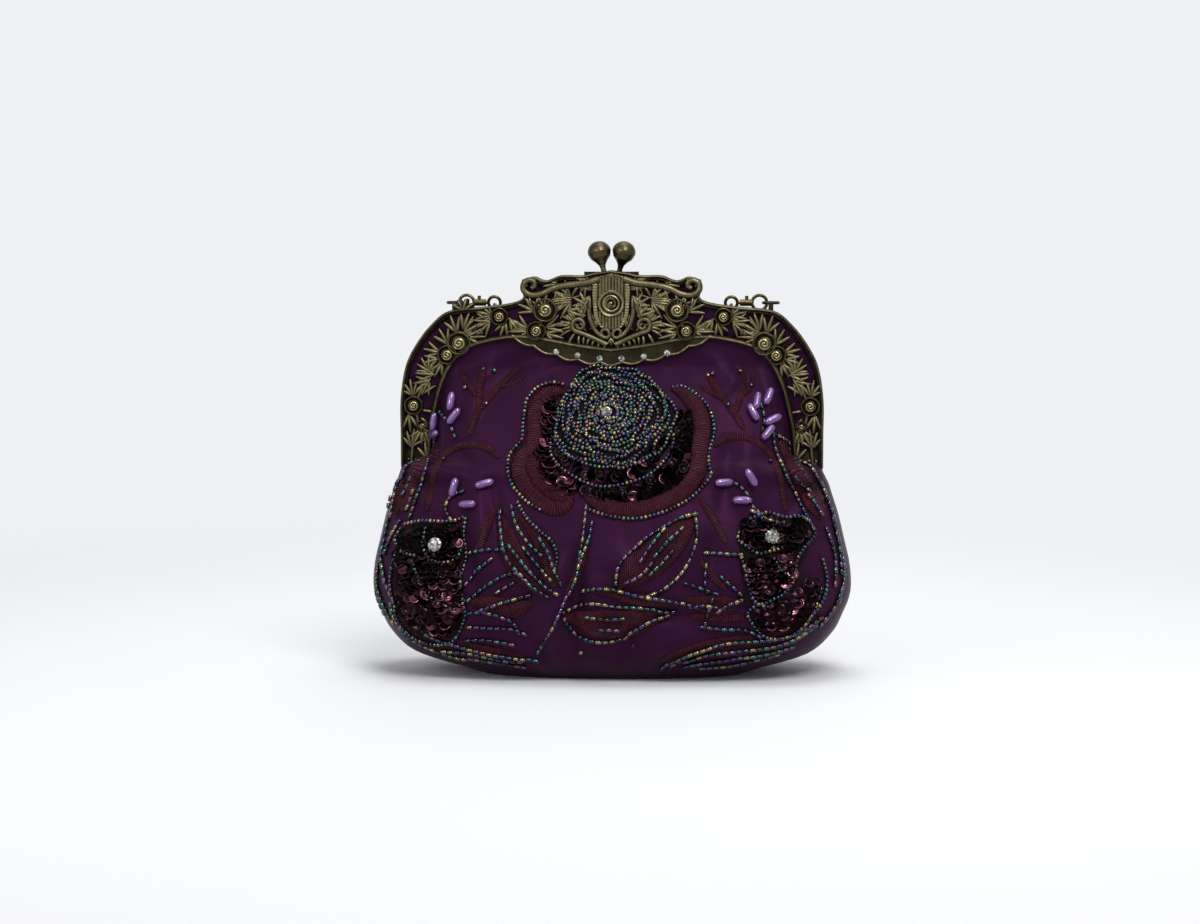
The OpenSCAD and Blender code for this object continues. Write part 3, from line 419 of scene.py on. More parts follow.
class Shape:
    """Gathers closed solids of one piece, in millimetres, with how worn each point is."""

    def __init__(self):
        self.points, self.faces, self.wear, self.count = [], [], [], 0

    def loft(self, rows, wear=1.0):
        """A solid through closed loops of points, capped at both ends."""
        rows = np.asarray(rows, float)
        n, m = rows.shape[:2]
        a = self.count + np.arange(n * m).reshape(n, m)
        b = np.roll(a, -1, axis=1)
        quads = np.stack([a[:-1], b[:-1], b[1:], a[1:]], axis=-1).reshape(-1, 4)
        self.faces += quads.tolist() + [a[0][::-1].tolist(), a[-1].tolist()]
        self.points.append(rows.reshape(-1, 3))
        self.wear.append(np.broadcast_to(wear, (n, m)).reshape(-1).astype(float))
        self.count += n * m

    def sheet(self, outer, inner):
        """A closed sheet between two grids of points."""
        n, m = outer.shape[:2]
        a = self.count + np.arange(n * m).reshape(n, m)
        b = a + n * m
        grid = np.stack([a[:-1, :-1], a[:-1, 1:], a[1:, 1:], a[1:, :-1]], -1).reshape(-1, 4)
        back = np.stack([b[:-1, :-1], b[1:, :-1], b[1:, 1:], b[:-1, 1:]], -1).reshape(-1, 4)
        rim = np.concatenate([a[0, :-1], a[:-1, -1], a[-1, :0:-1], a[:0:-1, 0]])
        after = np.roll(rim, -1)
        side = np.stack([after, rim, rim + n * m, after + n * m], -1)
        self.faces += grid.tolist() + back.tolist() + side.tolist()
        self.points += [outer.reshape(-1, 3), inner.reshape(-1, 3)]
        self.wear.append(np.ones(2 * n * m))
        self.count += 2 * n * m


def linked(name, data):
    """A new object of the data, in the scene."""
    made = bpy.data.objects.new(name, data)
    bpy.context.scene.collection.objects.link(made)
    return made


def turn_outwards(mesh, merge=0):
    """Turns the faces outwards, first joining points closer than a distance."""
    work = bmesh.new()
    work.from_mesh(mesh)
    if merge:
        bmesh.ops.remove_doubles(work, verts=work.verts, dist=merge)
    bmesh.ops.recalc_face_normals(work, faces=work.faces)
    work.to_mesh(mesh)
    work.free()


def make_piece(name, shape, material, smooth=40, uv=None):
    """A mesh object in metres from a shape, with its faces turned outwards."""
    points = np.vstack(shape.points) * MM
    mesh = bpy.data.meshes.new(name)
    mesh.from_pydata(points.tolist(), [], shape.faces)
    worn = mesh.attributes.new("wear", "FLOAT", "POINT")
    worn.data.foreach_set("value", np.concatenate(shape.wear).astype(np.float32))
    if uv is not None:
        layer = mesh.uv_layers.new(name="UVMap")
        corner = np.zeros(len(mesh.loops), np.int32)
        mesh.loops.foreach_get("vertex_index", corner)
        layer.data.foreach_set("uv", np.asarray(uv, np.float32)[corner].ravel())
    turn_outwards(mesh, merge=2e-7)
    mesh.materials.append(material)
    if smooth:
        mesh.shade_smooth()
        if smooth < 180:
            mesh.set_sharp_from_angle(angle=math.radians(smooth))
    return linked(name, mesh)


def finish_cloth(piece, side, slot, *nodes):
    """Fixes the piece's placement into its mesh and hides the imported parts it stands for."""
    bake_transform(piece)
    if nodes:
        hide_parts(*nodes)


# ---- Materials ----

def satin_material(colours):
    """Duchesse satin, woven of polyester: a soft broad sheen that follows the folds."""
    made, tree, shader = surface(
        "plum_duchesse_satin", Roughness=.42, Specular_IOR_Level=.16,
        Specular_Tint=rgba("#96508e"))
    uv = node(tree, "ShaderNodeTexCoord").outputs["UV"]
    blend_colours(tree, shader, noise(tree, uv, 26.0, 4.0), colours.satin_dark, colours.satin)
    # Threads of 0.12 mm are drawn 0.5 mm apart, so that they show
    weave = node(tree, "ShaderNodeTexWave", {
        "Vector": uv, "Scale": 620.0, "Distortion": 3.0, "Detail": 2.0, "Detail Scale": .6},
        bands_direction="Y")
    fine = bump(tree, shader, weave.outputs["Fac"], .04, .0002)
    bump(tree, shader, noise(tree, uv, 190.0, 3.0), .1, .0008, Normal=fine)
    return made


def thread_material(colours):
    """Rayon embroidery floss laid side by side: fine ridges across the run, a silky gloss, painted
    shade.
    """
    made, tree, shader = surface(
        "burgundy_embroidery_floss", Roughness=.45, Specular_IOR_Level=.25,
        Specular_Tint=rgba("#b06078"))
    uv = node(tree, "ShaderNodeTexCoord").outputs["UV"]
    # Floss of 0.3 mm, drawn 1 mm apart so that the stitches show
    ridge = node(tree, "ShaderNodeTexWave", {
        "Vector": uv, "Scale": 314.0, "Distortion": 2.4, "Detail": 2.0, "Detail Scale": 1.5},
        bands_direction="X").outputs["Fac"]
    # Painted shade: the floss is darker between its ridges, and darker at random where the noise is
    # low
    share = node(tree, "ShaderNodeMath", {0: ridge, 1: noise(tree, uv, 340.0)},
                 operation="MULTIPLY").outputs[0]
    blend_colours(tree, shader, share, colours.thread_painted_shade, colours.thread)
    bump(tree, shader, ridge, .8, .0005)
    return made


def felt_material():
    """Wool felt that the beads and sequins are sewn on: dull, and dark partly as painted shade."""
    made, tree, shader = surface("wool_felt_dark_and_painted_shade", Roughness=.9, Specular_IOR_Level=.1)
    place = node(tree, "ShaderNodeTexCoord").outputs["Object"]
    hair = noise(tree, place, 900.0, 4.0)
    # Painted shade: the felt is near black so that the gaps between beads and sequins look shaded
    ramp_colours(tree, shader, hair, [(.3, "#0b0508"), (.7, "#22101a")])
    bump(tree, shader, hair, .6, .0004)
    return made


def lining_material(colours):
    """Acetate taffeta lining: crisp plain weave, darker than the satin."""
    made, tree, shader = surface(
        "acetate_taffeta_lining", Roughness=.55, Specular_IOR_Level=.25)
    place = node(tree, "ShaderNodeTexCoord").outputs["Object"]
    blend_colours(tree, shader, noise(tree, place, 60.0, 4.0), "#1c0b1e", colours.lining)
    # A thread's square of 0.2 mm is drawn 0.7 mm wide
    grid = node(tree, "ShaderNodeTexChecker", {"Vector": place, "Scale": 1400.0})
    bump(tree, shader, grid.outputs["Fac"], .15, .0003)
    return made


def cast_brass_material():
    """Die-cast alloy plated in antique brass: dark oxide in the recesses, rubbed ridges."""
    made, tree, shader = surface("antique_brass_casting", Metallic=.92)
    place = node(tree, "ShaderNodeTexCoord").outputs["Object"]
    worn = node(tree, "ShaderNodeAttribute", attribute_name="wear").outputs["Fac"]
    shift = node(tree, "ShaderNodeMath", {0: noise(tree, place, 420.0, 5.0), 1: .5, 2: -.25},
                 operation="MULTIPLY_ADD")
    level = node(tree, "ShaderNodeMath", {0: worn, 1: shift.outputs[0]}, operation="ADD",
                 use_clamp=True).outputs[0]
    ramp_colours(tree, shader, level, [
        (.08, "#120f0a"), (.34, "#2e291b"), (.62, "#524b35"), (.95, "#857a59")])
    ramp_roughness(tree, shader, level, .62, .3)
    bump(tree, shader, noise(tree, place, 1500.0, 3.0), .25, .0002)
    return made


def plain_metal_material(name, dark, light, roughness, scale):
    """Plated metal with a darker patina in clouds and fine scratches."""
    made, tree, shader = surface(name, Metallic=.95)
    place = node(tree, "ShaderNodeTexCoord").outputs["Object"]
    cloud = noise(tree, place, scale, 6.0, Roughness=.62)
    ramp_colours(tree, shader, cloud, [(.32, dark), (.72, light)])
    ramp_roughness(tree, shader, cloud, roughness + .14, roughness - .08)
    bump(tree, shader, noise(tree, place, 2100.0), .12, .0001)
    return made


def tinted_material(name, stops, **constants):
    """A surface whose pieces each take their own tone from their tint."""
    made, tree, shader = surface(name, **constants)
    tint = node(tree, "ShaderNodeAttribute", attribute_name="tint").outputs["Fac"]
    return made, ramp_colours(tree, shader, tint, stops)


def iris_bead_material():
    """Glass seed beads with an iris coating: each bead shows its own hue, with a wet gloss."""
    made, ramp = tinted_material("iris_coated_glass", [
        (0, "#163038"), (.1, "#2b4f4e"), (.19, "#2e4434"), (.29, "#5e5c40"), (.4, "#75684c"),
        (.5, "#2c2648"), (.6, "#1c2a46"), (.7, "#4a3a58"), (.8, "#5a3a46"), (.88, "#15111a")],
        Metallic=.8, Roughness=.2, Coat_Weight=.3, Coat_Roughness=.12)
    ramp.interpolation = "CONSTANT"
    return made


def sequin_material(name, tones_and_painted_glint):
    """Cupped sequins stamped from metallised film: dark, with lamp glints and a painted glint tone.
    """
    return tinted_material(name, list(zip((0, .5, .82, 1), tones_and_painted_glint)), Metallic=.95, Roughness=.2,
                           Specular_IOR_Level=.2)[0]


def pearl_material(colours):
    """Lacquered glass pearls: satin lavender body colour under a clear nacre coat."""
    made, tree, shader = surface(
        "lavender_glass_pearl", Metallic=.3, Roughness=.3, Coat_Weight=.6, Coat_Roughness=.08)
    place = node(tree, "ShaderNodeTexCoord").outputs["Object"]
    blend_colours(tree, shader, noise(tree, place, 260.0), colours.pearl, "#785290")
    return made


def crystal_material():
    """Foiled cut crystal: every facet mirrors a different part of the room, over painted sparkle.
    """
    made, tree, shader = surface("foiled_cut_crystal", Metallic=.85, Roughness=.05,
                                 Coat_Weight=1.0, Coat_Roughness=.02)
    place = node(tree, "ShaderNodeTexCoord").outputs["Object"]
    # Painted sparkle: cells of light and dark colour stand for the facets' flashes
    spark = node(tree, "ShaderNodeTexVoronoi", {"Vector": place, "Scale": 900.0})
    ramp_colours(tree, shader, spark.outputs["Distance"],
                 [(.1, "#e6e4da"), (.4, "#98978f"), (.8, "#3c3d40")])
    return made


# ---- Cloth ----

def cloth_points(inset, columns, rows, base_rows, folds, back):
    """A grid over one face of the bag, from the middle of the base to the frame's inner edge."""
    u = np.sin(np.linspace(-math.pi / 2, math.pi / 2, columns))
    u = .55 * u + .45 * np.linspace(-1, 1, columns)
    top = np.interp(np.abs(u) * OPENING_HALF_W, INNER_HALF[:, 0], INNER_HALF[:, 1])
    share = np.linspace(0, 1, rows)[:, None]
    z = share * top[None, :]
    half_w = cloth_row(z)[0]
    x = u[None, :] * half_w
    depth = cloth_depth(x, z, folds)
    depth = np.where((z < SEAM_TOP) & (np.abs(u)[None, :] > .9999), 0, depth)
    k = np.linspace(0, 1, base_rows, endpoint=False)[:, None]
    base = np.stack([np.repeat(x[:1], base_rows, 0), -depth[:1] * k, np.zeros_like(x[:1]) * k], -1)
    wall = np.stack([x, -depth, z], -1)
    grid = np.vstack([base, wall])
    if inset:
        low = np.clip(1 - inset / np.maximum(np.abs(x), 1), 0, 1)
        thin = np.maximum(depth - inset, .05 * depth)
        wall = np.stack([x * low, -thin, np.maximum(z, inset)], -1)
        base = np.stack([wall[0, :, 0][None, :] * np.ones_like(k), wall[0, :, 1][None, :] * k,
                         inset * np.ones_like(k) * np.ones_like(x[:1])], -1)
        grid = np.vstack([base, wall])
    if back:
        grid = grid * [-1, -1, 1]
    return grid


def cloth_piece(name, outer_inset, inner_inset, folds, back, material, size=(181, 112, 10)):
    """One closed sheet of cloth between two insets from the bag's outer surface."""
    columns, rows, base_rows = size
    outer = cloth_points(outer_inset, columns, rows, base_rows, folds, back)
    inner = cloth_points(inner_inset, columns, rows, base_rows, folds, back)
    shape = Shape()
    shape.sheet(outer, inner)
    places = np.vstack([outer.reshape(-1, 3), inner.reshape(-1, 3)]) * MM
    # The texture runs on under the base
    base = places[:, 2] < MM
    run = np.stack([places[:, 0], places[:, 2] - base * np.abs(places[:, 1])], 1)
    return make_piece(name, shape, material, smooth=60, uv=run)


class CLUTCH_OT_cloth(bpy.types.Operator):
    """Makes the satin, the linings and the slip pocket"""
    bl_idname = "clutch.cloth"
    bl_label = "Satin and lining"

    def execute(self, context):
        colours = context.scene.clutch_colours
        satin, lining = satin_material(colours), lining_material(colours)
        finish_cloth(cloth_piece("satin_front", 0, SATIN_THICK, FRONT_FOLDS, False, satin),
                     "front_frame", "plum_satin", "pouch_shell", "front_panel")
        finish_cloth(cloth_piece("satin_back", 0, SATIN_THICK, BACK_FOLDS, True, satin),
                     "back_frame", "plum_satin", "back_panel")
        for side, folds, names in (
                ("front", FRONT_FOLDS, ["pouch_lining", "pouch_wadding", "front_panel_lining"]),
                ("back", BACK_FOLDS, ["back_panel_lining"])):
            made = cloth_piece(f"lining_{side}", *LINING_FACES, folds, side == "back", lining,
                               size=(91, 60, 6))
            finish_cloth(made, f"{side}_frame", "lining_cloth", *names)
        self.pocket(lining)
        return {"FINISHED"}

    def pocket(self, material):
        """Slip pocket on the back wall: a sheet with a stitched hem along its mouth."""
        columns, rows, half_w = 41, 24, BAG_HALF_W * POCKET_HALF_W
        x = np.linspace(-half_w, half_w, columns)[None, :] * np.ones((rows, 1))
        z = np.linspace(POCKET_FOOT, POCKET_MOUTH, rows)[:, None] * HINGE_Z * np.ones((1, columns))
        depth = cloth_depth(x, z, []) - POCKET_GAP
        depth -= .5 * np.sin(x * .25) * np.linspace(0, 1, rows)[:, None]
        hem = POCKET_HEM * (np.abs(np.arange(rows) - (rows - 3)) < 1.5)[:, None]
        outer = np.stack([x, depth, z], -1)
        inner = np.stack([x, depth - POCKET_CLOTH - hem, z], -1)
        shape = Shape()
        shape.sheet(outer, inner)
        piece = make_piece("slip_pocket_cloth", shape, material, smooth=60)
        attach(piece, "pouch")
        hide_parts("slip_pocket")


class CLUTCH_OT_strips(bpy.types.Operator):
    """Makes the puffed satin behind the openwork of both halves"""
    bl_idname = "clutch.strips"
    bl_label = "Satin behind the casting"

    def execute(self, context):
        satin = bpy.data.materials["plum_duchesse_satin"]
        outer, inner = evenly(OUTER_PATH, 241), evenly(INNER_PATH, 241)
        keep = (outer[:, 1] > STRIP_FOOT) & (inner[:, 1] > STRIP_FOOT)
        outer, inner = outer[keep], inner[keep]
        s = np.linspace(.045, .955, 13)[:, None, None]
        flat = outer[None] * (1 - s) + inner[None] * s
        run = np.arange(len(outer))[None, :]
        puff = np.sin(np.pi * s[..., 0]) ** .6 * (1 + .22 * np.sin(run * .9) * np.sin(run * .37))
        for side, sign, nodes in (("front", -1, "front_strip"), ("back", 1, "back_strip")):
            top, low = (np.stack([flat[..., 0], sign * depth, flat[..., 1]], -1) for depth in (
                STRIP_EDGE + STRIP_PUFF * puff, STRIP_BACK * np.ones_like(puff)))
            shape = Shape()
            shape.sheet(top, low)
            places = np.vstack([top.reshape(-1, 3), low.reshape(-1, 3)]) * MM
            piece = make_piece(f"satin_strip_{side}", shape, satin, smooth=60, uv=places[:, [0, 2]])
            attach(piece, f"{side}_frame")
            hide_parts(nodes)
        return {"FINISHED"}


# ---- Cast frame ----

ROSE_SHARES = [
    [.311, .798, .057], [.354, .693, .046], [.528, .765, .043], [.72, .63, .056],
    [.777, .571, .047], [.937, .313, .045]]
BUD_SHARE = [.896, .208, .028]
MEDALLION_SHARE = [0, .832, .064]
# Sprays: place of the root, direction in degrees, length share, number of leaflets
SPRAY_SHARES = [
    [.19, .86, 20, .15, 5], [.19, .85, -5, .15, 3], [.19, .84, -32, .14, 5],
    [.09, .9, 40, .12, 3], [.075, .72, 70, .1, 1], [.25, .93, 20, .11, 3],
    [.16, .72, 15, .11, 3], [.31, .8, 60, .12, 3], [.33, .74, -75, .09, 1],
    [.36, .79, 25, .12, 3], [.36, .8, 50, .12, 1], [.39, .69, 0, .13, 3], [.39, .7, 28, .12, 3],
    [.31, .68, 195, .12, 3], [.31, .71, 165, .13, 3], [.5, .74, -70, .1, 3],
    [.48, .75, 230, .1, 3], [.56, .77, 15, .12, 5], [.57, .74, -20, .13, 5],
    [.7, .68, 150, .14, 3], [.7, .7, 110, .11, 3], [.69, .66, 178, .13, 5],
    [.73, .68, 70, .12, 3], [.77, .62, 60, .12, 3], [.81, .58, 15, .11, 3],
    [.82, .55, -15, .1, 3], [.8, .53, -60, .1, 3], [.86, .48, 60, .11, 5],
    [.84, .47, 5, .12, 3], [.86, .44, -35, .12, 5], [.9, .37, 120, .12, 3],
    [.94, .36, 80, .11, 5], [.9, .29, 190, .07, 1], [.96, .27, -95, .12, 3],
    [.9, .25, 230, .08, 1], [.89, .2, -110, .12, 3], [.9, .19, -60, .1, 3],
    [.95, .1, 100, .12, 5], [.87, .03, 80, .12, 3], [.1, .87, -62, .12, 3],
    [.1, .95, -22, .11, 3], [.21, .8, 205, .11, 3], [.13, .77, 78, .1, 3],
    [.12, .77, 8, .1, 3], [.11, .82, 30, .11, 3]]
# Leafy lobes round the scrolls under the shield: place, direction, length share
LOBE_SHARES = [
    [.185, .74, 35, .055], [.193, .72, 5, .06], [.188, .7, -25, .06], [.172, .682, -55, .06],
    [.15, .672, -80, .045], [.168, .752, 65, .05], [.145, .755, 100, .045],
    [.125, .672, -75, .04], [.1, .662, -62, .036], [.078, .65, -60, .032], [.055, .642, -72, .03],
    [.03, .636, -82, .03], [.1, .7, 130, .07], [.088, .735, 108, .085], [.078, .7, 112, .06],
    [.118, .69, 60, .05], [.15, .925, -50, .06], [.2, .92, -62, .06], [.25, .905, -66, .06],
    [.3, .885, -70, .06], [.345, .868, -78, .055], [.385, .87, -95, .05], [.115, .93, -75, .06],
    [.375, .92, 120, .045], [.395, .915, 60, .04]]
STEM_SHARES = [
    [[.95, .02], [.94, .12], [.915, .2], [.925, .3], [.9, .4], [.85, .48], [.79, .56],
     [.72, .64], [.62, .72], [.53, .765], [.44, .735], [.36, .7], [.3, .69], [.24, .7]],
    [[.36, .7], [.33, .75], [.31, .8], [.27, .85], [.19, .86], [.12, .88]],
    [[.9, .2], [.88, .12], [.87, .04]]]
# Scrolls: a tapering wire through these shares
SCROLL_SHARES = [
    [[.02, .625], [.06, .645], [.1, .665], [.14, .682], [.172, .695], [.184, .722], [.172, .748],
     [.148, .752], [.13, .736], [.131, .714], [.147, .704], [.16, .713], [.157, .727]],
    [[.105, .808], [.1, .76], [.085, .715], [.065, .685], [.042, .665], [.018, .66], [.008, .677],
     [.017, .697], [.035, .7], [.047, .687], [.04, .673]],
    [[.06, .955], [.12, .935], [.2, .925], [.27, .91], [.33, .88], [.38, .875], [.412, .9],
     [.41, .935], [.385, .95], [.362, .94], [.362, .918], [.378, .91]]]
# Half thickness and height over the channel of each scroll's wire
SCROLL_WIRES = [(1.3, 1.6), (1.15, 1.7), (1.75, 1.3)]
SHIELD_SHARES = [
    [0, .695], [.045, .71], [.075, .76], [.085, .84], [.085, .93], [.06, .965], [0, .985]]
SHIELD_DOME_Z = 169.0
# Mouldings along the frame's edges: width, heights across them and how worn each height is
OUTER_RAIL = (2.2, [1.1, 1.9, 2.15, 1.95, 1.45, 1.35, 1.6, 1.2],
              [.15, .55, .7, .45, .1, .08, .4, .08])
INNER_RAIL = (-2.0, [1.2, 1.75, 1.9, 1.55, 1.5, 1.8, 1.3], [.3, .7, .75, .45, .3, .6, .1])
# Heights above this one are lowered on the back half
FULL_RELIEF = 1.5
# Heights of a rose from its middle to its edge, in millimetres over the channel
ROSE_RINGS = [[0, 3.6], [.3, 3.4], [.5, 2.9], [.62, 1.9], [.68, 1.3], [.74, 1.4], [.82, 2.3],
              [.9, 2.6], [.97, 2.2], [1, 1.2]]
MEDALLION_RINGS = [[0, 3.3], [.14, 3], [.22, 2.2], [.32, 2.9], [.42, 2.2], [.54, 2.9], [.62, 2.7],
                   [.7, 1.9], [.8, 2.7], [.9, 3], [.97, 2.5], [1, 1.6]]


class Casting(Shape):
    """One half's casting, drawn flat: x, z and height above the channel."""

    def __init__(self, side, rise):
        super().__init__()
        self.side, self.rise = side, rise

    def holds(self, place):
        """Whether a place lies on the frame, clear of its edges."""
        x, z = np.abs(place[:1]), place[1:]
        gap = min(np.hypot(OUTER_PATH[:, 0] - x, OUTER_PATH[:, 1] - z).min(),
                  np.hypot(INNER_PATH[:, 0] - x, INNER_PATH[:, 1] - z).min())
        ring = np.vstack([OUTER_PATH, INNER_PATH[::-1]]).tolist()
        return gap > .5 and bool(inside(np.array([[x[0], z[0]]]), ring)[0])

    def lay(self, rows, wear, mirrored=True):
        """Adds a solid and its mirror image."""
        rows = np.asarray(rows, float)
        for turn in ((1, -1) if mirrored else (1,)):
            x, z, high = rows[..., 0] * turn, rows[..., 1], rows[..., 2]
            out = CAST_Y + np.where(
                high > FULL_RELIEF, FULL_RELIEF + (high - FULL_RELIEF) * self.rise, high)
            self.loft(np.stack([x, self.side * out, z], -1), wear)

    def rail(self, path, width, profile, worn):
        """A moulding along a path: heights across its width."""
        step = unit(np.gradient(path, axis=0))
        inward = np.stack([-step[:, 1], step[:, 0]], 1)
        across = np.linspace(0, 1, len(profile))
        top = path[:, None] + inward[:, None] * (across * width)[None, :, None]
        high = np.broadcast_to(profile, top.shape[:2])
        low = top[:, ::-1]
        rows = np.concatenate([
            np.concatenate([top, high[..., None]], -1),
            np.concatenate([low, np.zeros_like(high)[..., None]], -1)], 1)
        wear = np.concatenate([worn, np.zeros(len(profile))])
        self.lay(rows, np.broadcast_to(wear, rows.shape[:2]), mirrored=False)

    def wire(self, shares, thick, high, steps=6, shine=.8):
        """A round stem through shares of the frame, thinner at its end."""
        line = spline(on_frame(shares), steps)
        step = unit(np.gradient(line, axis=0))
        side = np.stack([-step[:, 1], step[:, 0]], 1)
        r = thick * np.linspace(1, .6, len(line))[:, None]
        turn = np.linspace(0, 2 * math.pi, 10, endpoint=False)
        flat = line[:, None] + side[:, None] * (r * np.cos(turn))[..., None]
        up = high + r * np.sin(turn)
        wear = np.clip(.15 + shine * np.sin(turn), 0, 1)
        self.lay(np.concatenate([flat, up[..., None]], -1),
                 np.broadcast_to(wear, up.shape))

    def leaflet(self, root, turn, length, width, high, curl=0.0, mirrored=True):
        """A plump leaf with a rounded tip and a rubbed ridge along its middle."""
        t = np.linspace(0, 1, 8)
        bend = curl * t * t
        heading = turn + bend
        step = np.stack([np.cos(heading), np.sin(heading)], 1) * (length / 7)
        line = root + np.vstack([[0, 0], np.cumsum(step[:-1], 0)])
        side = np.stack([-np.sin(heading), np.cos(heading)], 1)
        half = width * (np.sin(np.pi * (.12 + .76 * t)) ** .65) / 2
        across = np.array([-1, -.7, -.32, 0, .32, .7, 1])
        lift = np.array([.25, .72, .94, 1, .94, .72, .25])
        worn = np.array([.06, .36, .62, .76, .62, .36, .06])
        arch = (.5 + .5 * np.sin(np.pi * (.12 + .72 * t)))[:, None]
        top = line[:, None] + side[:, None] * (half[:, None] * across)[..., None]
        rise = high * arch * lift
        low = top[:, [6, 0]]
        rows = np.concatenate([
            np.concatenate([top, rise[..., None]], -1),
            np.concatenate([low, np.full((8, 2, 1), .25)], -1)], 1)
        wear = np.broadcast_to(np.concatenate([worn, [0, 0]]), rows.shape[:2])
        self.lay(rows, wear * (.7 + .3 * arch), mirrored)

    def spray(self, share, degrees, length_share, count):
        """Leaflets fanned out from one root, each as long as the frame has room for."""
        root = on_frame(share)
        for k in range(count):
            place = k - (count - 1) / 2
            turn = math.radians(degrees + place * (32 - 1.6 * count))
            way = np.array([math.cos(turn), math.sin(turn)])
            for cut in (1, .88, .76, .64, .52, .42):
                length = length_share * FRAME_HALF_W * (.74 - .08 * abs(place)) * cut
                if self.holds(root + way * length):
                    self.leaflet(root, turn, length, min(2.7 - .1 * count, length * .42),
                                 1.7 + .35 * (k % 2), curl=.12 * place)
                    break

    def rose(self, share, petals, lift, mirrored=True):
        """A rose: an outer ring of petals like a dish, and a bud that stands up in it."""
        x, z = on_frame(share[:2])
        radius = share[2] * FRAME_HALF_W
        turn = np.linspace(0, 2 * math.pi, 60, endpoint=False)
        place = np.concatenate([[1.0, 1.0], np.linspace(.97, .03, 26)])
        s, a = np.meshgrid(place, turn, indexing="ij")
        dish = np.interp(s, *np.transpose(petals))
        # A groove winds into the bud, so that its petals overlap
        swirl = (s * 3.4 - a / (2 * math.pi)) % 1.0
        groove = np.exp(-((swirl - .5) / .2) ** 2) * np.clip((.6 - s) * 8, 0, 1)
        lobes = np.abs(np.sin(a * 2.5 + .4))
        high = dish * lift - .42 * groove + .25 * lobes * np.exp(-((s - .9) / .08) ** 2)
        high[0] = 0
        high[1] = .9
        reach = radius * s * (1 + .05 * lobes * (s > .8))
        wear = np.clip((dish - 1.2) / 1.7, .12, 1) * (1 - .8 * groove)
        wear[0] = 0
        self.lay(np.stack([x + reach * np.cos(a), z + reach * np.sin(a), high], -1), wear, mirrored)

    def shield(self):
        """The reeded shield behind the middle rose, with its ribbed sides and roped dome."""
        edge = spline(on_frame(SHIELD_SHARES), 8)
        z = np.linspace(edge[0, 1] + .2, edge[-1, 1] - .1, 64)
        half = np.interp(z, edge[:, 1], edge[:, 0])
        across = np.linspace(-1, 1, 57)
        x = half[:, None] * across
        reed = np.abs(np.sin(x * math.pi / 1.35)) ** .7
        rib = np.abs(np.sin(z * math.pi / 1.2))[:, None] ** .6
        side = np.clip((np.abs(across) - .74) / .06, 0, 1)[None, :]
        high = 1.35 + .45 * reed * (1 - side) + side * (.75 + .3 * rib)
        dome = np.clip((z - SHIELD_DOME_Z) / 1.2, 0, 1)[:, None]
        rope = np.abs(np.sin((x + z[:, None]) * math.pi / 1.1)) ** .6
        high = high * (1 - dome) + dome * (1.9 + .45 * rope)
        wear = .2 + .55 * reed * (1 - side) + side * (.25 + .5 * rib)
        wear = wear * (1 - dome) + dome * (.25 + .6 * rope)
        top = np.stack([x, np.repeat(z[:, None], 57, 1), high], -1)
        low = top[:, ::-1].copy()
        low[..., 2] = 0
        self.lay(np.concatenate([top, low], 1), np.concatenate([wear, wear * 0], 1), mirrored=False)


def casting(side, rise, name, material):
    """The whole casting of one half, as one mesh."""
    cast = Casting(side, rise)
    cast.rail(OUTER_PATH, *OUTER_RAIL)
    cast.rail(INNER_PATH, *INNER_RAIL)
    for share in STEM_SHARES:
        cast.wire(share, thick=.75, high=.7, shine=.5)
    for share, (thick, high) in zip(SCROLL_SHARES, SCROLL_WIRES):
        cast.wire(share, thick, high, steps=8, shine=.5)
    for x, z, degrees, length, count in SPRAY_SHARES:
        cast.spray([x, z], degrees, length, count)
    for x, z, degrees, length in LOBE_SHARES:
        cast.leaflet(on_frame([x, z]), math.radians(degrees), length * FRAME_HALF_W * 1.05,
                     width=2.1, high=2.1, curl=-.5)
    for degrees in (-90, -62, -118):
        cast.leaflet(on_frame([0, .66]), math.radians(degrees), 3.6, width=1.9, high=2.1)
    for degrees in (35, 75, 115, 150):
        cast.leaflet(on_frame([-.7, .795]), math.radians(degrees), 5.2, width=2.2, high=2.4,
                     mirrored=False)
    for share in ROSE_SHARES:
        cast.rose(share, ROSE_RINGS, lift=1)
    cast.rose(BUD_SHARE, ROSE_RINGS, lift=.9)
    for turn in (-40, -90, -140):
        cast.leaflet(on_frame([.896, .225]), math.radians(turn), 3.4, width=1.6, high=1.9)
    cast.shield()
    cast.rose(MEDALLION_SHARE, MEDALLION_RINGS, lift=1, mirrored=False)
    return make_piece(name, cast, material, smooth=50)


class CLUTCH_OT_casting(bpy.types.Operator):
    """Makes the openwork castings of both halves"""
    bl_idname = "clutch.casting"
    bl_label = "Cast frame"

    def execute(self, context):
        brass = cast_brass_material()
        # The back half is cast in lower relief
        for side, sign, rise in (("front", -1, 1.0), ("back", 1, .45)):
            piece = casting(sign, rise, f"casting_{side}", brass)
            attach(piece, f"{side}_frame")
            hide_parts(f"{side}_openwork")
        return {"FINISHED"}


# ---- Beadwork: places are pixels of the view, laid onto the cloth ----

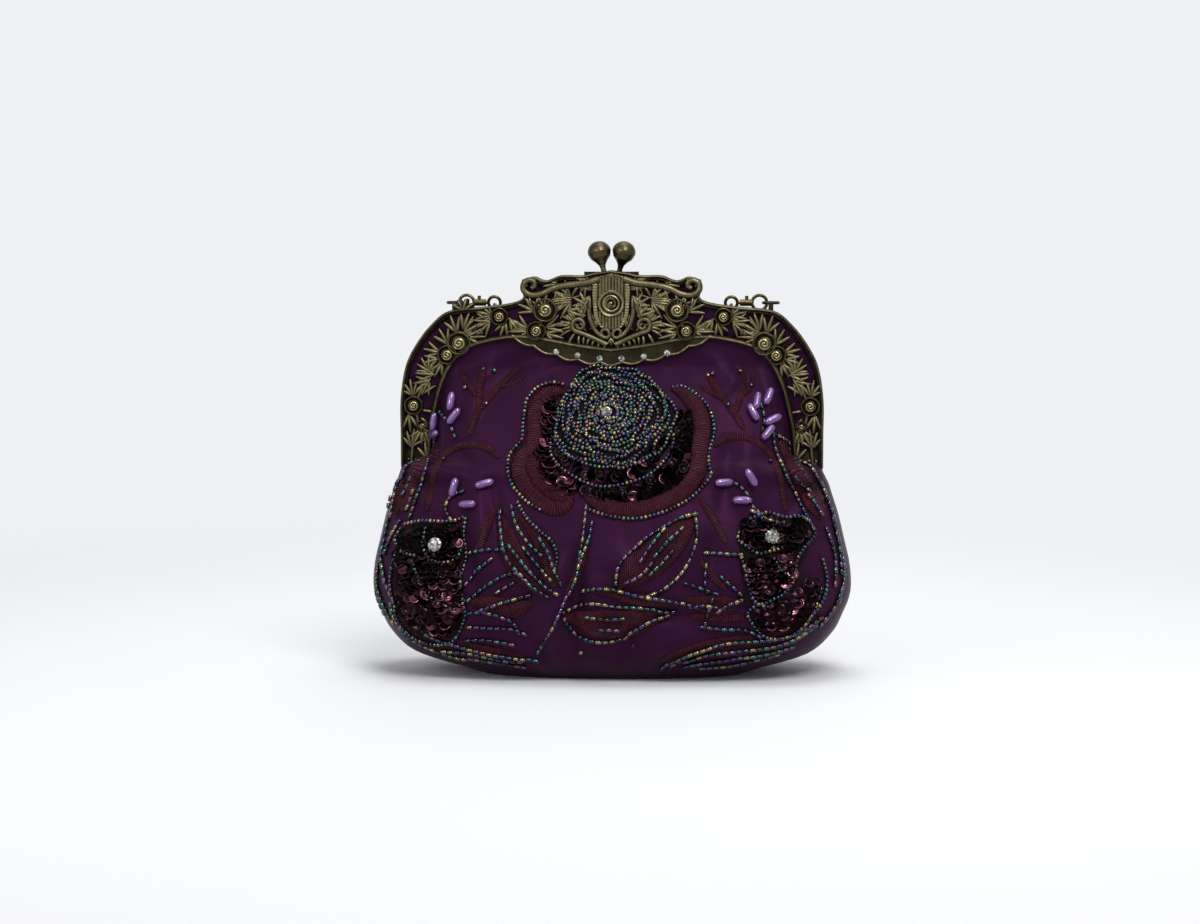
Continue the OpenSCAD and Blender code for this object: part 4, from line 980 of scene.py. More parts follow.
# Strands of round seed beads
SEED_LINES = [
    [(563, 385), (553, 383), (541, 386), (534, 391), (527, 400), (525, 410), (523, 428), (522, 440),
     (514, 449), (509, 458), (508, 472), (512, 484), (519, 494), (528, 503), (540, 510)],
    [(673, 388), (683, 387), (698, 396), (708, 407), (713, 420), (714, 434), (709, 452), (709, 466),
     (711, 474), (705, 484), (691, 498), (672, 509), (655, 515), (636, 519), (617, 518), (600, 514),
     (586, 509)],
    [(551, 440), (551, 454), (559, 466), (576, 478), (592, 485), (609, 487), (632, 482), (648, 476),
     (660, 466), (670, 453), (674, 437), (666, 426)],
    [(560, 441), (570, 457), (588, 465), (607, 468), (625, 463), (639, 453), (652, 437)],
    [(518, 503), (526, 517), (538, 530), (551, 541), (557, 554), (556, 570)],
    [(408, 525), (426, 522), (453, 522), (466, 517), (464, 533), (466, 556), (461, 578), (463, 603),
     (466, 613), (459, 633), (449, 641), (426, 639), (406, 626), (395, 603), (391, 580),
     (396, 556)],
    [(428, 530), (426, 546), (431, 558), (443, 563), (456, 560), (462, 548)],
    [(416, 562), (423, 581), (431, 594), (446, 604), (463, 611)],
    [(402, 529), (396, 540), (404, 552), (418, 556)],
    [(739, 533), (738, 540), (746, 548), (757, 555), (767, 553), (780, 549)],
    [(741, 558), (744, 570), (748, 589), (754, 601), (766, 606)],
    [(750, 519), (766, 514), (784, 519), (799, 516), (809, 523), (814, 535), (802, 548), (794, 563),
     (791, 580), (781, 593), (766, 601), (752, 606), (747, 614), (754, 626), (766, 636), (787, 634),
     (807, 619), (822, 599), (826, 580), (822, 560)],
    [(772, 560), (780, 572), (790, 578)]]
# Strands of short square-cut beads
CUT_LINES = [
    [(695, 515), (679, 519), (664, 528), (648, 537), (630, 553), (619, 566), (616, 584)],
    [(695, 515), (697, 535), (691, 557), (680, 575), (664, 589), (648, 596)],
    [(681, 530), (667, 544), (656, 556)], [(672, 552), (662, 564), (650, 575)],
    [(664, 532), (650, 548), (640, 562)], [(650, 566), (640, 576), (628, 582)],
    [(563, 612), (577, 606), (594, 604), (617, 607), (644, 608), (673, 611)],
    [(563, 619), (575, 633), (593, 641), (612, 641), (630, 634), (650, 622), (673, 611)],
    [(584, 591), (600, 590), (617, 591), (644, 597), (671, 601), (689, 604)],
    [(590, 617), (606, 619), (622, 617)], [(600, 629), (616, 629)],
    [(586, 508), (584, 530), (582, 549), (575, 572), (566, 594), (558, 615), (550, 633),
     (538, 652)],
    [(592, 524), (588, 545), (583, 562)],
    [(501, 512), (503, 530), (505, 548), (512, 566), (527, 583), (548, 597)],
    [(512, 508), (517, 526), (528, 543), (541, 556)], [(524, 549), (538, 566), (552, 580)],
    [(512, 548), (526, 567), (541, 583), (556, 594)], [(517, 570), (532, 588)],
    [(541, 541), (550, 556), (556, 574), (560, 584)],
    [(470, 553), (487, 550), (504, 551)], [(466, 584), (478, 570), (490, 560)],
    [(469, 600), (484, 588), (502, 577), (517, 574)], [(483, 610), (505, 602), (528, 596)],
    [(470, 613), (492, 613), (512, 622), (518, 632)], [(498, 592), (512, 584)],
    [(470, 627), (490, 628), (510, 629), (524, 634)], [(468, 640), (488, 640), (512, 644)],
    [(392, 604), (398, 618), (407, 631), (420, 640), (438, 648), (462, 656), (492, 661),
     (524, 666)],
    [(400, 600), (414, 620), (432, 634), (455, 642), (480, 649), (508, 655), (536, 660)],
    [(446, 648), (470, 650), (496, 656), (520, 661)],
    [(662, 667), (674, 658), (690, 650), (708, 645), (730, 641), (755, 639), (780, 636), (800, 629),
     (818, 617)],
    [(672, 664), (692, 657), (712, 652), (740, 648), (766, 645), (790, 638), (812, 624)],
    [(686, 666), (708, 662), (734, 658), (762, 652), (790, 645)],
    [(702, 667), (728, 665), (752, 660), (776, 654)],
    [(702, 627), (722, 629), (744, 630), (758, 635)], [(712, 601), (708, 612), (705, 624)],
    [(686, 584), (704, 590), (716, 594)], [(722, 578), (731, 586), (740, 594)],
    [(706, 553), (724, 554), (740, 555)], [(706, 566), (705, 580), (707, 592)],
    [(690, 607), (706, 606), (722, 609)], [(718, 611), (730, 604), (742, 600)],
    [(432, 436), (424, 443), (414, 453), (407, 465), (402, 480), (398, 499), (394, 516)],
    [(433, 437), (430, 455), (424, 477), (417, 499), (411, 516)],
    [(421, 452), (416, 470)], [(411, 478), (406, 494)], [(414, 492), (408, 508)],
    [(773, 436), (776, 453), (785, 473), (795, 494), (805, 514), (812, 528)],
    [(774, 434), (791, 445), (807, 462), (819, 482), (828, 503), (833, 517)],
    [(786, 452), (798, 466), (808, 480)], [(796, 478), (808, 494)], [(808, 500), (818, 514)],
    [(383, 500), (380, 518), (377, 536), (373, 556)], [(388, 520), (384, 545), (378, 570)],
    [(376, 580), (383, 602), (394, 622)], [(371, 566), (374, 590), (383, 612)],
    [(400, 522), (392, 536), (386, 552)], [(382, 560), (386, 582), (394, 600)],
    [(838, 500), (842, 520), (845, 545), (846, 566)], [(832, 520), (838, 546), (840, 572)],
    [(842, 584), (834, 606), (820, 624)], [(826, 530), (834, 556), (834, 584)],
    [(840, 560), (843, 580), (838, 600)], [(820, 590), (812, 612), (798, 628)],
    [(455, 436), (450, 424), (441, 412)], [(452, 520), (446, 508), (452, 496), (462, 492)],
    [(762, 430), (764, 418), (761, 406)], [(760, 520), (752, 506), (746, 492), (737, 484)],
    [(752, 512), (764, 520), (776, 524)]]
# Satin-stitched bands: width in millimetres and the line that each follows
THREAD_LINES = [
    (7.4, [(566, 394), (552, 392), (541, 400), (535, 414), (535, 430), (532, 446), (522, 458),
           (519, 472), (525, 486), (538, 500), (552, 508), (566, 506), (572, 496)]),
    (8.2, [(672, 388), (688, 397), (699, 412), (703, 430), (700, 446), (699, 462), (694, 478),
           (682, 492), (664, 502), (642, 509), (618, 509), (596, 502), (584, 494)]),
    (3.4, [(499, 458), (488, 449), (474, 445), (458, 447), (445, 455), (436, 468), (431, 486),
           (428, 512)]),
    (3.4, [(714, 447), (726, 439), (742, 437), (758, 443), (772, 457), (780, 476), (783, 494),
           (784, 512)]),
    (3.4, [(468, 436), (474, 422), (479, 406), (480, 388), (484, 368)]),
    (2.8, [(478, 412), (490, 398), (503, 382), (522, 366)]),
    (2.6, [(476, 396), (466, 382), (461, 370)]), (2.4, [(500, 386), (512, 384), (524, 376)]),
    (3.4, [(744, 430), (736, 416), (726, 402), (716, 388), (708, 374)]),
    (2.8, [(735, 414), (740, 398), (744, 380), (742, 366)]),
    (2.4, [(722, 398), (710, 392), (700, 386)]), (2.4, [(741, 396), (750, 388), (753, 376)]),
    (8.0, [(534, 456), (535, 470), (542, 483), (554, 492), (570, 498)]),
    (4.2, [(494, 508), (488, 524), (482, 540), (476, 552)]),
    (3.4, [(700, 498), (710, 514), (718, 528), (726, 544)]),
    (7.5, [(430, 442), (420, 462), (412, 486), (403, 512)]),
    (8.5, [(778, 442), (792, 462), (806, 486), (820, 512)]),
    (3.6, [(690, 616), (716, 618), (744, 618)]), (3.4, [(700, 560), (712, 576), (726, 590)])]
# Areas filled with overlapping sequins: outline, the way they overlap, and whether they are jet
SEQUIN_AREAS = [
    ([(404, 533), (430, 530), (460, 528), (462, 556), (459, 566), (436, 566), (412, 566),
      (396, 560)], (.3, -1), True),
    ([(398, 564), (436, 568), (460, 567), (460, 590), (461, 612), (452, 632), (428, 634),
      (408, 620), (399, 600)], (.3, -1), False),
    ([(744, 558), (756, 560), (772, 558), (796, 552), (790, 576), (780, 590), (760, 598),
      (749, 586)], (-.3, -1), False),
    ([(752, 608), (784, 598), (802, 586), (820, 576), (816, 600), (802, 618), (784, 630),
      (764, 630)], (-.5, -1), False),
    ([(742, 522), (770, 518), (800, 520), (810, 534), (796, 548), (768, 550), (744, 546)],
      (0, -1), True),
    ([(545, 398), (557, 394), (560, 420), (556, 440), (549, 448), (556, 470), (574, 482),
      (572, 494), (556, 492), (540, 476), (536, 460), (543, 442)], (.1, -1), False),
    ([(574, 483), (592, 489), (612, 491), (636, 486), (654, 478), (668, 464), (678, 444),
      (680, 410), (690, 412), (692, 434), (690, 458), (682, 478), (664, 491), (642, 498),
      (614, 500), (588, 495)], (1, .2), True),
    ([(556, 446), (566, 460), (586, 470), (608, 474), (630, 469), (648, 456), (664, 436),
      (668, 442), (660, 460), (640, 474), (610, 482), (584, 476), (562, 464)], (1, -.2), True)]
# Single beads on the vines
LONE_BEADS = [(494, 371), (486, 404), (466, 388), (444, 460), (728, 405), (708, 376), (740, 372),
              (770, 462), (634, 645), (582, 652), (751, 386), (484, 370), (713, 374)]
# Height of a pearl's middle over the cloth, in half widths
PEARL_LIFT = .92
# Pearls: place and direction in degrees
PEARLS = [
    (452, 402, 80), (455, 417, 52), (434, 422, 4), (437, 435, 30), (455, 488, 74), (484, 484, 18),
    (469, 505, 4), (757, 402, 78), (768, 397, 72), (753, 413, 120), (772, 420, 30), (767, 433, 50),
    (723, 483, 0), (750, 478, 118), (743, 501, 2)]
FLOWER_STONES = [(438, 546), (770, 538)]
APRON_STONES = [(557, 352), (578, 355.5), (600, 358.5), (622, 358.5), (644, 356.5), (667, 353)]
APRON_FACE = -4.4
# The beaded rose: its crystal, the middle of its rim and its half width and height, and how many
# places each of its rings of beads is drawn through
DISC_CENTRE = (608.0, 415.0)
DISC_MIDDLE = (614.0, 418.5)
DISC_HALF_W, DISC_HALF_H = 59.0, 50.0
RING_PLACES = 73
# How deep stitched work is set into the cloth, and how far apart two rows of sequins are
FOOT_DEPTH = .35
SEQUIN_STEP = 6.6
# Sequins: how far they lean the way they overlap, how unevenly, and how high they lie
SEQUIN_LEAN, SEQUIN_TILT, SEQUIN_LIFT = .36, .22, .6
# Steps from bead to bead, and from ring to ring of the rose, in lengths of a bead
SEED_PITCH, CUT_PITCH, RING_PITCH = 1.02, 1.1, .9
# Height of a strand's middle over the cloth, in half thicknesses of its beads
STRAND_LIFT = .85


def set_input(modifier, name, value):
    """Sets a modifier's named input by its socket's identifier."""
    for item in modifier.node_group.interface.items_tree:
        if item.item_type == "SOCKET" and item.in_out == "INPUT" and item.name == name:
            modifier[item.identifier] = value


def bead_tree(name, along_lines):
    """Sets a bead at equal steps along lines, or on each point that says which way it faces."""
    tree = bpy.data.node_groups.new(name, "GeometryNodeTree")
    face = tree.interface
    face.new_socket("Geometry", in_out="INPUT", socket_type="NodeSocketGeometry")
    face.new_socket("Bead", in_out="INPUT", socket_type="NodeSocketObject")
    face.new_socket("Material", in_out="INPUT", socket_type="NodeSocketMaterial")
    pitch = face.new_socket("Pitch", in_out="INPUT", socket_type="NodeSocketFloat")
    pitch.subtype, pitch.default_value = "DISTANCE", .0017
    spread = face.new_socket("Size spread", in_out="INPUT", socket_type="NodeSocketFloat")
    spread.default_value = .08
    seed = face.new_socket("Seed", in_out="INPUT", socket_type="NodeSocketInt")
    seed.default_value = 7
    face.new_socket("Geometry", in_out="OUTPUT", socket_type="NodeSocketGeometry")
    into = node(tree, "NodeGroupInput").outputs
    if along_lines:
        lines = node(tree, "GeometryNodeMeshToCurve", {"Mesh": into["Geometry"]})
        points = node(tree, "GeometryNodeResampleCurve", {
            "Curve": lines.outputs[0], "Length": into["Pitch"]}, mode="LENGTH").outputs[0]
        axis = node(tree, "GeometryNodeInputTangent").outputs[0]
    else:
        points = into["Geometry"]
        axis = node(tree, "GeometryNodeInputNamedAttribute", {"Name": "axis"},
                    data_type="FLOAT_VECTOR").outputs[0]
    turn = node(tree, "FunctionNodeAlignRotationToVector", {"Vector": axis}, axis="Z")
    bead = node(tree, "GeometryNodeObjectInfo", {"Object": into["Bead"]})
    low = node(tree, "ShaderNodeMath", {0: 1.0, 1: into["Size spread"]}, operation="SUBTRACT")
    high = node(tree, "ShaderNodeMath", {0: 1.0, 1: into["Size spread"]}, operation="ADD")
    size = node(tree, "FunctionNodeRandomValue", {
        2: low.outputs[0], 3: high.outputs[0], "Seed": into["Seed"]}, data_type="FLOAT")
    placed = node(tree, "GeometryNodeInstanceOnPoints", {
        "Points": points, "Instance": bead.outputs["Geometry"], "Rotation": turn.outputs[0],
        "Scale": size.outputs[1]})
    after = node(tree, "ShaderNodeMath", {0: into["Seed"], 1: 11.0}, operation="ADD")
    hue = node(tree, "FunctionNodeRandomValue", {2: 0.0, 3: 1.0, "Seed": after.outputs[0]},
               data_type="FLOAT")
    tinted = node(tree, "GeometryNodeStoreNamedAttribute", {
        "Geometry": placed.outputs[0], "Name": "tint", "Value": hue.outputs[1]},
        data_type="FLOAT", domain="INSTANCE")
    real = node(tree, "GeometryNodeRealizeInstances", {"Geometry": tinted.outputs[0]})
    dressed = node(tree, "GeometryNodeSetMaterial", {
        "Geometry": real.outputs[0], "Material": into["Material"]})
    node(tree, "NodeGroupOutput", {"Geometry": dressed.outputs[0]})
    return tree


def turned_bead(name, profile, sides):
    """A small turned solid round Z, of a few dozen faces: radius and height pairs in mm."""
    turn = np.linspace(0, 2 * math.pi, sides, endpoint=False)
    rows = [[(r * math.cos(a), r * math.sin(a), z) for a in turn] for r, z in profile]
    shape = Shape()
    shape.loft(rows)
    return shape_object(name, shape)


def shape_object(name, shape):
    """A bare mesh object from a shape, for use as an instance."""
    mesh = bpy.data.meshes.new(name)
    mesh.from_pydata((np.vstack(shape.points) * MM).tolist(), [], shape.faces)
    turn_outwards(mesh)
    mesh.shade_smooth()
    return linked(name, mesh)


def strung(name, tree, bead, material, carrier, pitch, spread, draw):
    """The carrier mesh with its beads, as one plain mesh."""
    modifier = carrier.modifiers.new("Beads", "NODES")
    modifier.node_group = tree
    for key, value in (("Bead", bead), ("Material", material), ("Pitch", pitch),
                       ("Size spread", spread), ("Seed", draw)):
        set_input(modifier, key, value)
    carrier.update_tag()
    bpy.context.view_layer.update()
    graph = bpy.context.evaluated_depsgraph_get()
    mesh = bpy.data.meshes.new_from_object(
        carrier.evaluated_get(graph), preserve_all_data_layers=True, depsgraph=graph)
    bpy.data.objects.remove(carrier)
    if not mesh.materials:
        mesh.materials.append(material)
    mesh.name = name
    return linked(name, mesh)


def line_mesh(name, lines):
    """A mesh of open lines of points, in millimetres."""
    mesh = bpy.data.meshes.new(name)
    points, edges = [], []
    for line in lines:
        edges += [(len(points) + k, len(points) + k + 1) for k in range(len(line) - 1)]
        points += (np.asarray(line) * MM).tolist()
    mesh.from_pydata(points, edges, [])
    return linked(name, mesh)


def point_mesh(name, points, axes):
    """A mesh of loose points in millimetres, each with the way it faces."""
    mesh = bpy.data.meshes.new(name)
    mesh.from_pydata((np.asarray(points) * MM).tolist(), [], [])
    facing = mesh.attributes.new("axis", "FLOAT_VECTOR", "POINT")
    facing.data.foreach_set("vector", np.asarray(axes, np.float32).ravel())
    return linked(name, mesh)


def disc_lift(share):
    """Height of the beaded rose over the cloth: petal tiers that rise towards the middle."""
    return .9 + 2.3 * (1 - share ** 3) + .35 * np.sin(share * 19)


def disc_places(share, turn, wobble=1):
    """Pixels of the view on the rings at shares of the beaded rose, at angles round it."""
    share = np.asarray(share)[..., None]
    mid = np.array(DISC_CENTRE) * (1 - share) + np.array(DISC_MIDDLE) * share
    ring = np.stack([np.cos(turn) * DISC_HALF_W, np.sin(turn) * DISC_HALF_H], -1)
    return mid + ring * (share * np.asarray(wobble)[..., None])


def disc_rings(pitch):
    """Rings of seed beads that wind round the crystal."""
    lines = []
    count = int(DISC_HALF_W / VIEW_SCALE / pitch)
    chance = np.random.default_rng(5)
    for k in range(2, count + 1):
        share = k / count
        turn = np.linspace(0, 2 * math.pi, RING_PLACES) + k * 1.1
        wobble = 1 + .05 * np.sin(3 * turn + k * 1.7) * share + .03 * np.sin(7 * turn + k * 2.3)
        place = disc_places(share, turn, wobble)
        drift = np.sin(place[:, ::-1] * .11 + [.4, 1.9]) * [2.6, 2.2]
        spot, facing = onto_cloth(place + drift + chance.normal(0, .75, place.shape))
        high = disc_lift(share) + .3 + chance.uniform(-.12, .3, (RING_PLACES, 1))
        lines.append(spot + facing * high)
    return lines


class CLUTCH_OT_beads(bpy.types.Operator):
    """Strings the seed beads and the square-cut beads"""
    bl_idname = "clutch.beads"
    bl_label = "Bead strands"

    def execute(self, context):
        sizes = context.scene.clutch_sizes
        glass = iris_bead_material()
        lines = bead_tree("bead_strand", True)
        r = sizes.seed_bead / MM / 2
        seed = turned_bead("seed_bead", [
            (.45 * r, -.8 * r), (.9 * r, -.62 * r), (1.04 * r, 0), (.9 * r, .62 * r),
            (.45 * r, .8 * r)], 8)
        half, thick = sizes.cut_bead_length / MM / 2, sizes.cut_bead_width / MM / 2
        cut = turned_bead("cut_bead", [
            (.55 * thick, -half), (thick, -half * .86), (thick, half * .86),
            (.55 * thick, half)], 6)
        pitch = sizes.seed_bead * SEED_PITCH
        self.string("seed_strands", lines, seed, glass, SEED_LINES, STRAND_LIFT * r, pitch,
                    spread=.07, draw=3)
        self.string("cut_strands", lines, cut, glass, CUT_LINES, STRAND_LIFT * thick,
                    sizes.cut_bead_length * CUT_PITCH, spread=.1, draw=5)
        disc = line_mesh("rose_rings", disc_rings(sizes.seed_bead / MM * RING_PITCH))
        piece = strung("rose_beads", lines, seed, glass, disc, pitch, spread=.1, draw=9)
        finish_cloth(piece, "front_frame", "seed_beads", "rose_bead_disc")
        spots, facing = onto_cloth(LONE_BEADS, lift=.9)
        scatter = bead_tree("bead_scatter", False)
        piece = strung("lone_beads", scatter, seed, glass,
                       point_mesh("lone_points", spots, facing), pitch, spread=.1, draw=4)
        finish_cloth(piece, "front_frame", "seed_beads")
        for made in (seed, cut):
            bpy.data.objects.remove(made)
        return {"FINISHED"}

    def string(self, name, tree, bead, material, lines, lift, pitch, spread, draw):
        """Beads of one kind along their lines on the cloth."""
        laid = []
        for line in lines:
            fine = evenly(spline(line, 6), max(len(line) * 5, 12))
            spot, facing = onto_cloth(fine)
            laid.append(spot + facing * lift)
        piece = strung(name, tree, bead, material, line_mesh(name + "_lines", laid), pitch, spread,
                       draw)
        finish_cloth(piece, "front_frame", "seed_beads")


def stitch_places(length, half, across, slant, count):
    """Texture places round a stitched strip: along its run, slanted to its middle, and across."""
    run = np.concatenate([[0], np.cumsum(length[1:])])[:, None] * MM
    aside = half[:, None] * np.concatenate([across, across[::-1]]) * MM
    return np.stack([run + slant * np.abs(aside), aside + count * .05], -1).reshape(-1, 2)


class CLUTCH_OT_embroidery(bpy.types.Operator):
    """Stitches the satin-stitch bands and the pad under the beaded rose"""
    bl_idname = "clutch.embroidery"
    bl_label = "Embroidery"

    def execute(self, context):
        floss, felt = thread_material(context.scene.clutch_colours), felt_material()
        self.bands(floss)
        self.motifs("leaf_stitch", LEAF_PADS, LEAF_RISE, floss, "embroidery", "padded_leaves")
        self.motifs("flower_felt", FLOWER_PADS, FLOWER_RISE, felt, "sequins", "sequin_flowers")
        self.pad(felt)
        return {"FINISHED"}

    def bands(self, material):
        """Satin-stitched bands, the broad ones padded."""
        shape, runs = Shape(), []
        across = np.linspace(-1, 1, 9)
        for width, line in THREAD_LINES:
            fine = evenly(spline(line, 6), len(line) * 8)
            spot, facing = onto_cloth(fine)
            step = np.gradient(spot, axis=0)
            length = np.linalg.norm(step, axis=1)
            side = np.cross(facing, step / length[:, None])
            t = np.linspace(0, 1, len(fine))
            half = width / 2 * np.clip(np.sin(np.pi * (.04 + .92 * t)) * 2.6, 0, 1)
            foot = spot[:, None] + side[:, None] * (half[:, None] * across)[..., None]
            depth = cloth_depth(foot[..., 0], np.clip(foot[..., 2], .5, 160))
            foot[..., 1] = np.where(np.abs(foot[..., 1] + depth) < 3, -depth, foot[..., 1])
            rise = (1.5 if width > 6 else .28 + width * .1) * np.sqrt(1 - across ** 2)
            rough = 1 + .12 * np.sin(np.arange(len(fine)) * 2.4)[:, None]
            top = foot + facing[:, None] * (rise * rough)[..., None]
            low = foot[:, ::-1] - facing[:, None] * FOOT_DEPTH
            shape.loft(np.concatenate([top, low], 1))
            runs.append(stitch_places(length, half, across, 0, len(runs)))
        piece = make_piece("satin_stitch", shape, material, smooth=70, uv=np.vstack(runs))
        finish_cloth(piece, "front_frame", "embroidery", "padded_petals")

    def motifs(self, name, pads, rise, material, slot, node_name):
        """Padded motifs, fullest along their middles, with stitches that slant to the rib."""
        shape, runs = Shape(), []
        across = np.linspace(-1, 1, 11)
        for shares in pads:
            line = evenly(pad_line(shares), 26)
            step = np.gradient(line[:, :2], axis=0)
            length = np.linalg.norm(step, axis=1)
            step /= length[:, None]
            side = np.stack([step[:, 1], -step[:, 0]], 1)
            place = line[:, None, :2] + side[:, None] * (line[:, 2:] * across)[..., None]
            x, z = place[..., 0], np.maximum(place[..., 1], .5)
            spot = np.stack([x, -cloth_depth(x, z), z], -1)
            facing = cloth_normal(x, z)
            full = (1 - np.linspace(-1, 1, len(line)) ** 4)[:, None]
            high = PAD_EDGE * .6 + rise * full * np.sqrt(1 - across * across)
            top = spot + facing * high[..., None]
            low = (spot - facing * FOOT_DEPTH)[:, ::-1]
            shape.loft(np.concatenate([top, low], 1))
            runs.append(stitch_places(length, line[:, 2], across, .7, len(runs)))
        piece = make_piece(name, shape, material, smooth=70, uv=np.vstack(runs))
        finish_cloth(piece, "front_frame", slot, node_name)

    def pad(self, material):
        """Felt-padded mound under the beaded rose."""
        share = np.linspace(1, .03, 16)[:, None]
        turn = np.linspace(0, 2 * math.pi, 72, endpoint=False)[None, :]
        place = disc_places(share, turn)
        spot, facing = onto_cloth(place.reshape(-1, 2))
        lift = np.repeat(disc_lift(share), 72, 1).reshape(-1, 1) - .35
        top = (spot + facing * lift).reshape(*place.shape[:2], 3)
        low = (spot - facing * .3).reshape(*place.shape[:2], 3)[0]
        rows = np.concatenate([low[None], top])
        shape = Shape()
        shape.loft(rows)
        run = rows.reshape(-1, 3)[:, [0, 2]] * MM
        piece = make_piece("rose_pad", shape, material, smooth=60, uv=run)
        finish_cloth(piece, "front_frame", "seed_beads")


def inside(points, outline):
    """Which points lie inside an outline."""
    x, y = points[:, 0], points[:, 1]
    hit = np.zeros(len(points), bool)
    for (ax, ay), (bx, by) in zip(outline, outline[1:] + outline[:1]):
        crossing = (ay > y) != (by > y)
        edge = ax + (y - ay) / ((by - ay) or 1e-9) * (bx - ax)
        hit ^= crossing & (x < edge)
    return hit


class CLUTCH_OT_sequins(bpy.types.Operator):
    """Sews on the overlapping cupped sequins"""
    bl_idname = "clutch.sequins"
    bl_label = "Sequins"

    def execute(self, context):
        r = context.scene.clutch_sizes.sequin / MM / 2
        cup = turned_bead("sequin", [
            (.16 * r, -.12), (.16 * r, -.02), (.6 * r, .02), (r, .42), (.97 * r, .5),
            (.56 * r, .12), (.2 * r, .06)], 12)
        tree = bead_tree("sequin_scatter", False)
        # The lightest tone of each film, which a random few sequins take, is a painted glint
        for name, jet, film in (
                ("rose_sequins", False, sequin_material("burgundy_metallised_film", (
                    "#0a0406", "#14080d", "#231018", "#5a343d"))),
                ("jet_sequins", True, sequin_material("jet_metallised_film", (
                    "#030203", "#060304", "#10080c", "#3c2229")))):
            chance = np.random.default_rng(21)
            spots, axes = [], []
            for outline, (ox, oy), dark in SEQUIN_AREAS:
                if dark != jet:
                    continue
                low, high = np.min(outline, 0), np.max(outline, 0)
                xs, ys = np.meshgrid(np.arange(low[0], high[0], SEQUIN_STEP),
                                     np.arange(low[1], high[1], SEQUIN_STEP * .82))
                xs = xs + (np.arange(len(xs)) % 2)[:, None] * SEQUIN_STEP / 2
                grid = np.stack([xs.ravel(), ys.ravel()], 1) + chance.normal(0, .7, (xs.size, 2))
                grid = grid[inside(grid, outline)]
                spot, facing = onto_cloth(grid)
                lean = CAMERA_RIGHT * ox - CAMERA_UP * oy
                tilt = chance.normal(0, SEQUIN_TILT, facing.shape)
                axes.append(unit(facing + SEQUIN_LEAN * lean + tilt))
                high = SEQUIN_LIFT + chance.uniform(0, .35, (len(grid), 1))
                spots.append(spot + facing * high)
            piece = strung(name, tree, cup, film,
                           point_mesh(name + "_points", np.vstack(spots), np.vstack(axes)),
                           pitch=.002, spread=.06, draw=12)
            finish_cloth(piece, "front_frame", "sequins")
        bpy.data.objects.remove(cup)
        return {"FINISHED"}


class CLUTCH_OT_pearls(bpy.types.Operator):
    """Sets the oval pearls"""
    bl_idname = "clutch.pearls"
    bl_label = "Oval pearls"

    def execute(self, context):
        sizes = context.scene.clutch_sizes
        r, length = sizes.pearl_width / MM / 2, sizes.pearl_length / MM
        t = .5 - .5 * np.cos(np.linspace(.16, math.pi - .16, 15))
        turn = np.linspace(0, 2 * math.pi, 20, endpoint=False)
        shape = Shape()
        for px, py, degrees in PEARLS:
            a = math.radians(degrees)
            spot, facing = onto_cloth([(px, py)], r * PEARL_LIFT)
            ahead, _ = onto_cloth([(px + 2 * math.cos(a), py - 2 * math.sin(a))],
                                  r * PEARL_LIFT)
            along = unit((ahead - spot)[0])
            side = np.cross(facing[0], along)
            up = np.cross(along, side)
            radius = r * (1 - (2 * t - 1) ** 4) ** .5
            ring = (side[None] * np.cos(turn)[:, None] + up[None] * np.sin(turn)[:, None])
            core = spot[0] + along * ((t - .5) * length)[:, None]
            shape.loft(core[:, None] + ring[None] * radius[:, None, None])
        lacquer = pearl_material(context.scene.clutch_colours)
        piece = make_piece("oval_pearls", shape, lacquer, smooth=180)
        finish_cloth(piece, "front_frame", "pearl", "lower_pearls", "shoulder_pearls")
        return {"FINISHED"}


class CLUTCH_OT_crystals(bpy.types.Operator):
    """Cuts the crystals of the rose, the flowers and the apron"""
    bl_idname = "clutch.crystals"
    bl_label = "Crystals"

    def execute(self, context):
        glass = crystal_material()
        x, z = from_view(*np.transpose(APRON_STONES))
        on_apron = np.stack([x, np.full(len(x), APRON_FACE), z], 1), [(0, -1.0, 0)] * len(x)
        for name, node_name, body, (places, ways), radius in (
                ("rose_stone", "rose_crystal", "front_frame", onto_cloth([DISC_CENTRE], 3.3), 2.4),
                ("flower_stones", "flower_crystals", "pouch", onto_cloth(FLOWER_STONES, .8), 3.2),
                ("apron_stones", "apron_crystals", "front_frame", on_apron, 1.5)):
            shape = Shape()
            for place, way in zip(places, ways):
                self.stone(shape, place, np.array(way), radius)
            piece = make_piece(name, shape, glass, smooth=0)
            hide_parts(node_name)
            if body == "pouch":
                finish_cloth(piece, "front_frame", "crystal")
            else:
                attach(piece, body)
        return {"FINISHED"}

    def stone(self, shape, place, way, radius):
        """A round brilliant: pavilion, girdle, main facets and table."""
        side = unit(np.cross(way, [0, 0, 1.0]))
        up = np.cross(side, way)
        rows = []
        for r, high, turn in ((.55, 0, 0), (1, .35, 0), (1, .45, .5), (.78, .72, 0), (.5, .9, .5)):
            a = (np.arange(10) + turn) * (2 * math.pi / 10)
            rows.append(place + side * (r * radius * np.cos(a))[:, None]
                        + up * (r * radius * np.sin(a))[:, None] + way * (high * radius * .8))
        shape.loft(rows)


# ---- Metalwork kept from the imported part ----

# Aprons: half width and foot as shares of the frame, and their scallops
APRON_HALF_W, APRON_FOOT = .47, .516
SCALLOPS, SCALLOP_RISE = 9, 1.3
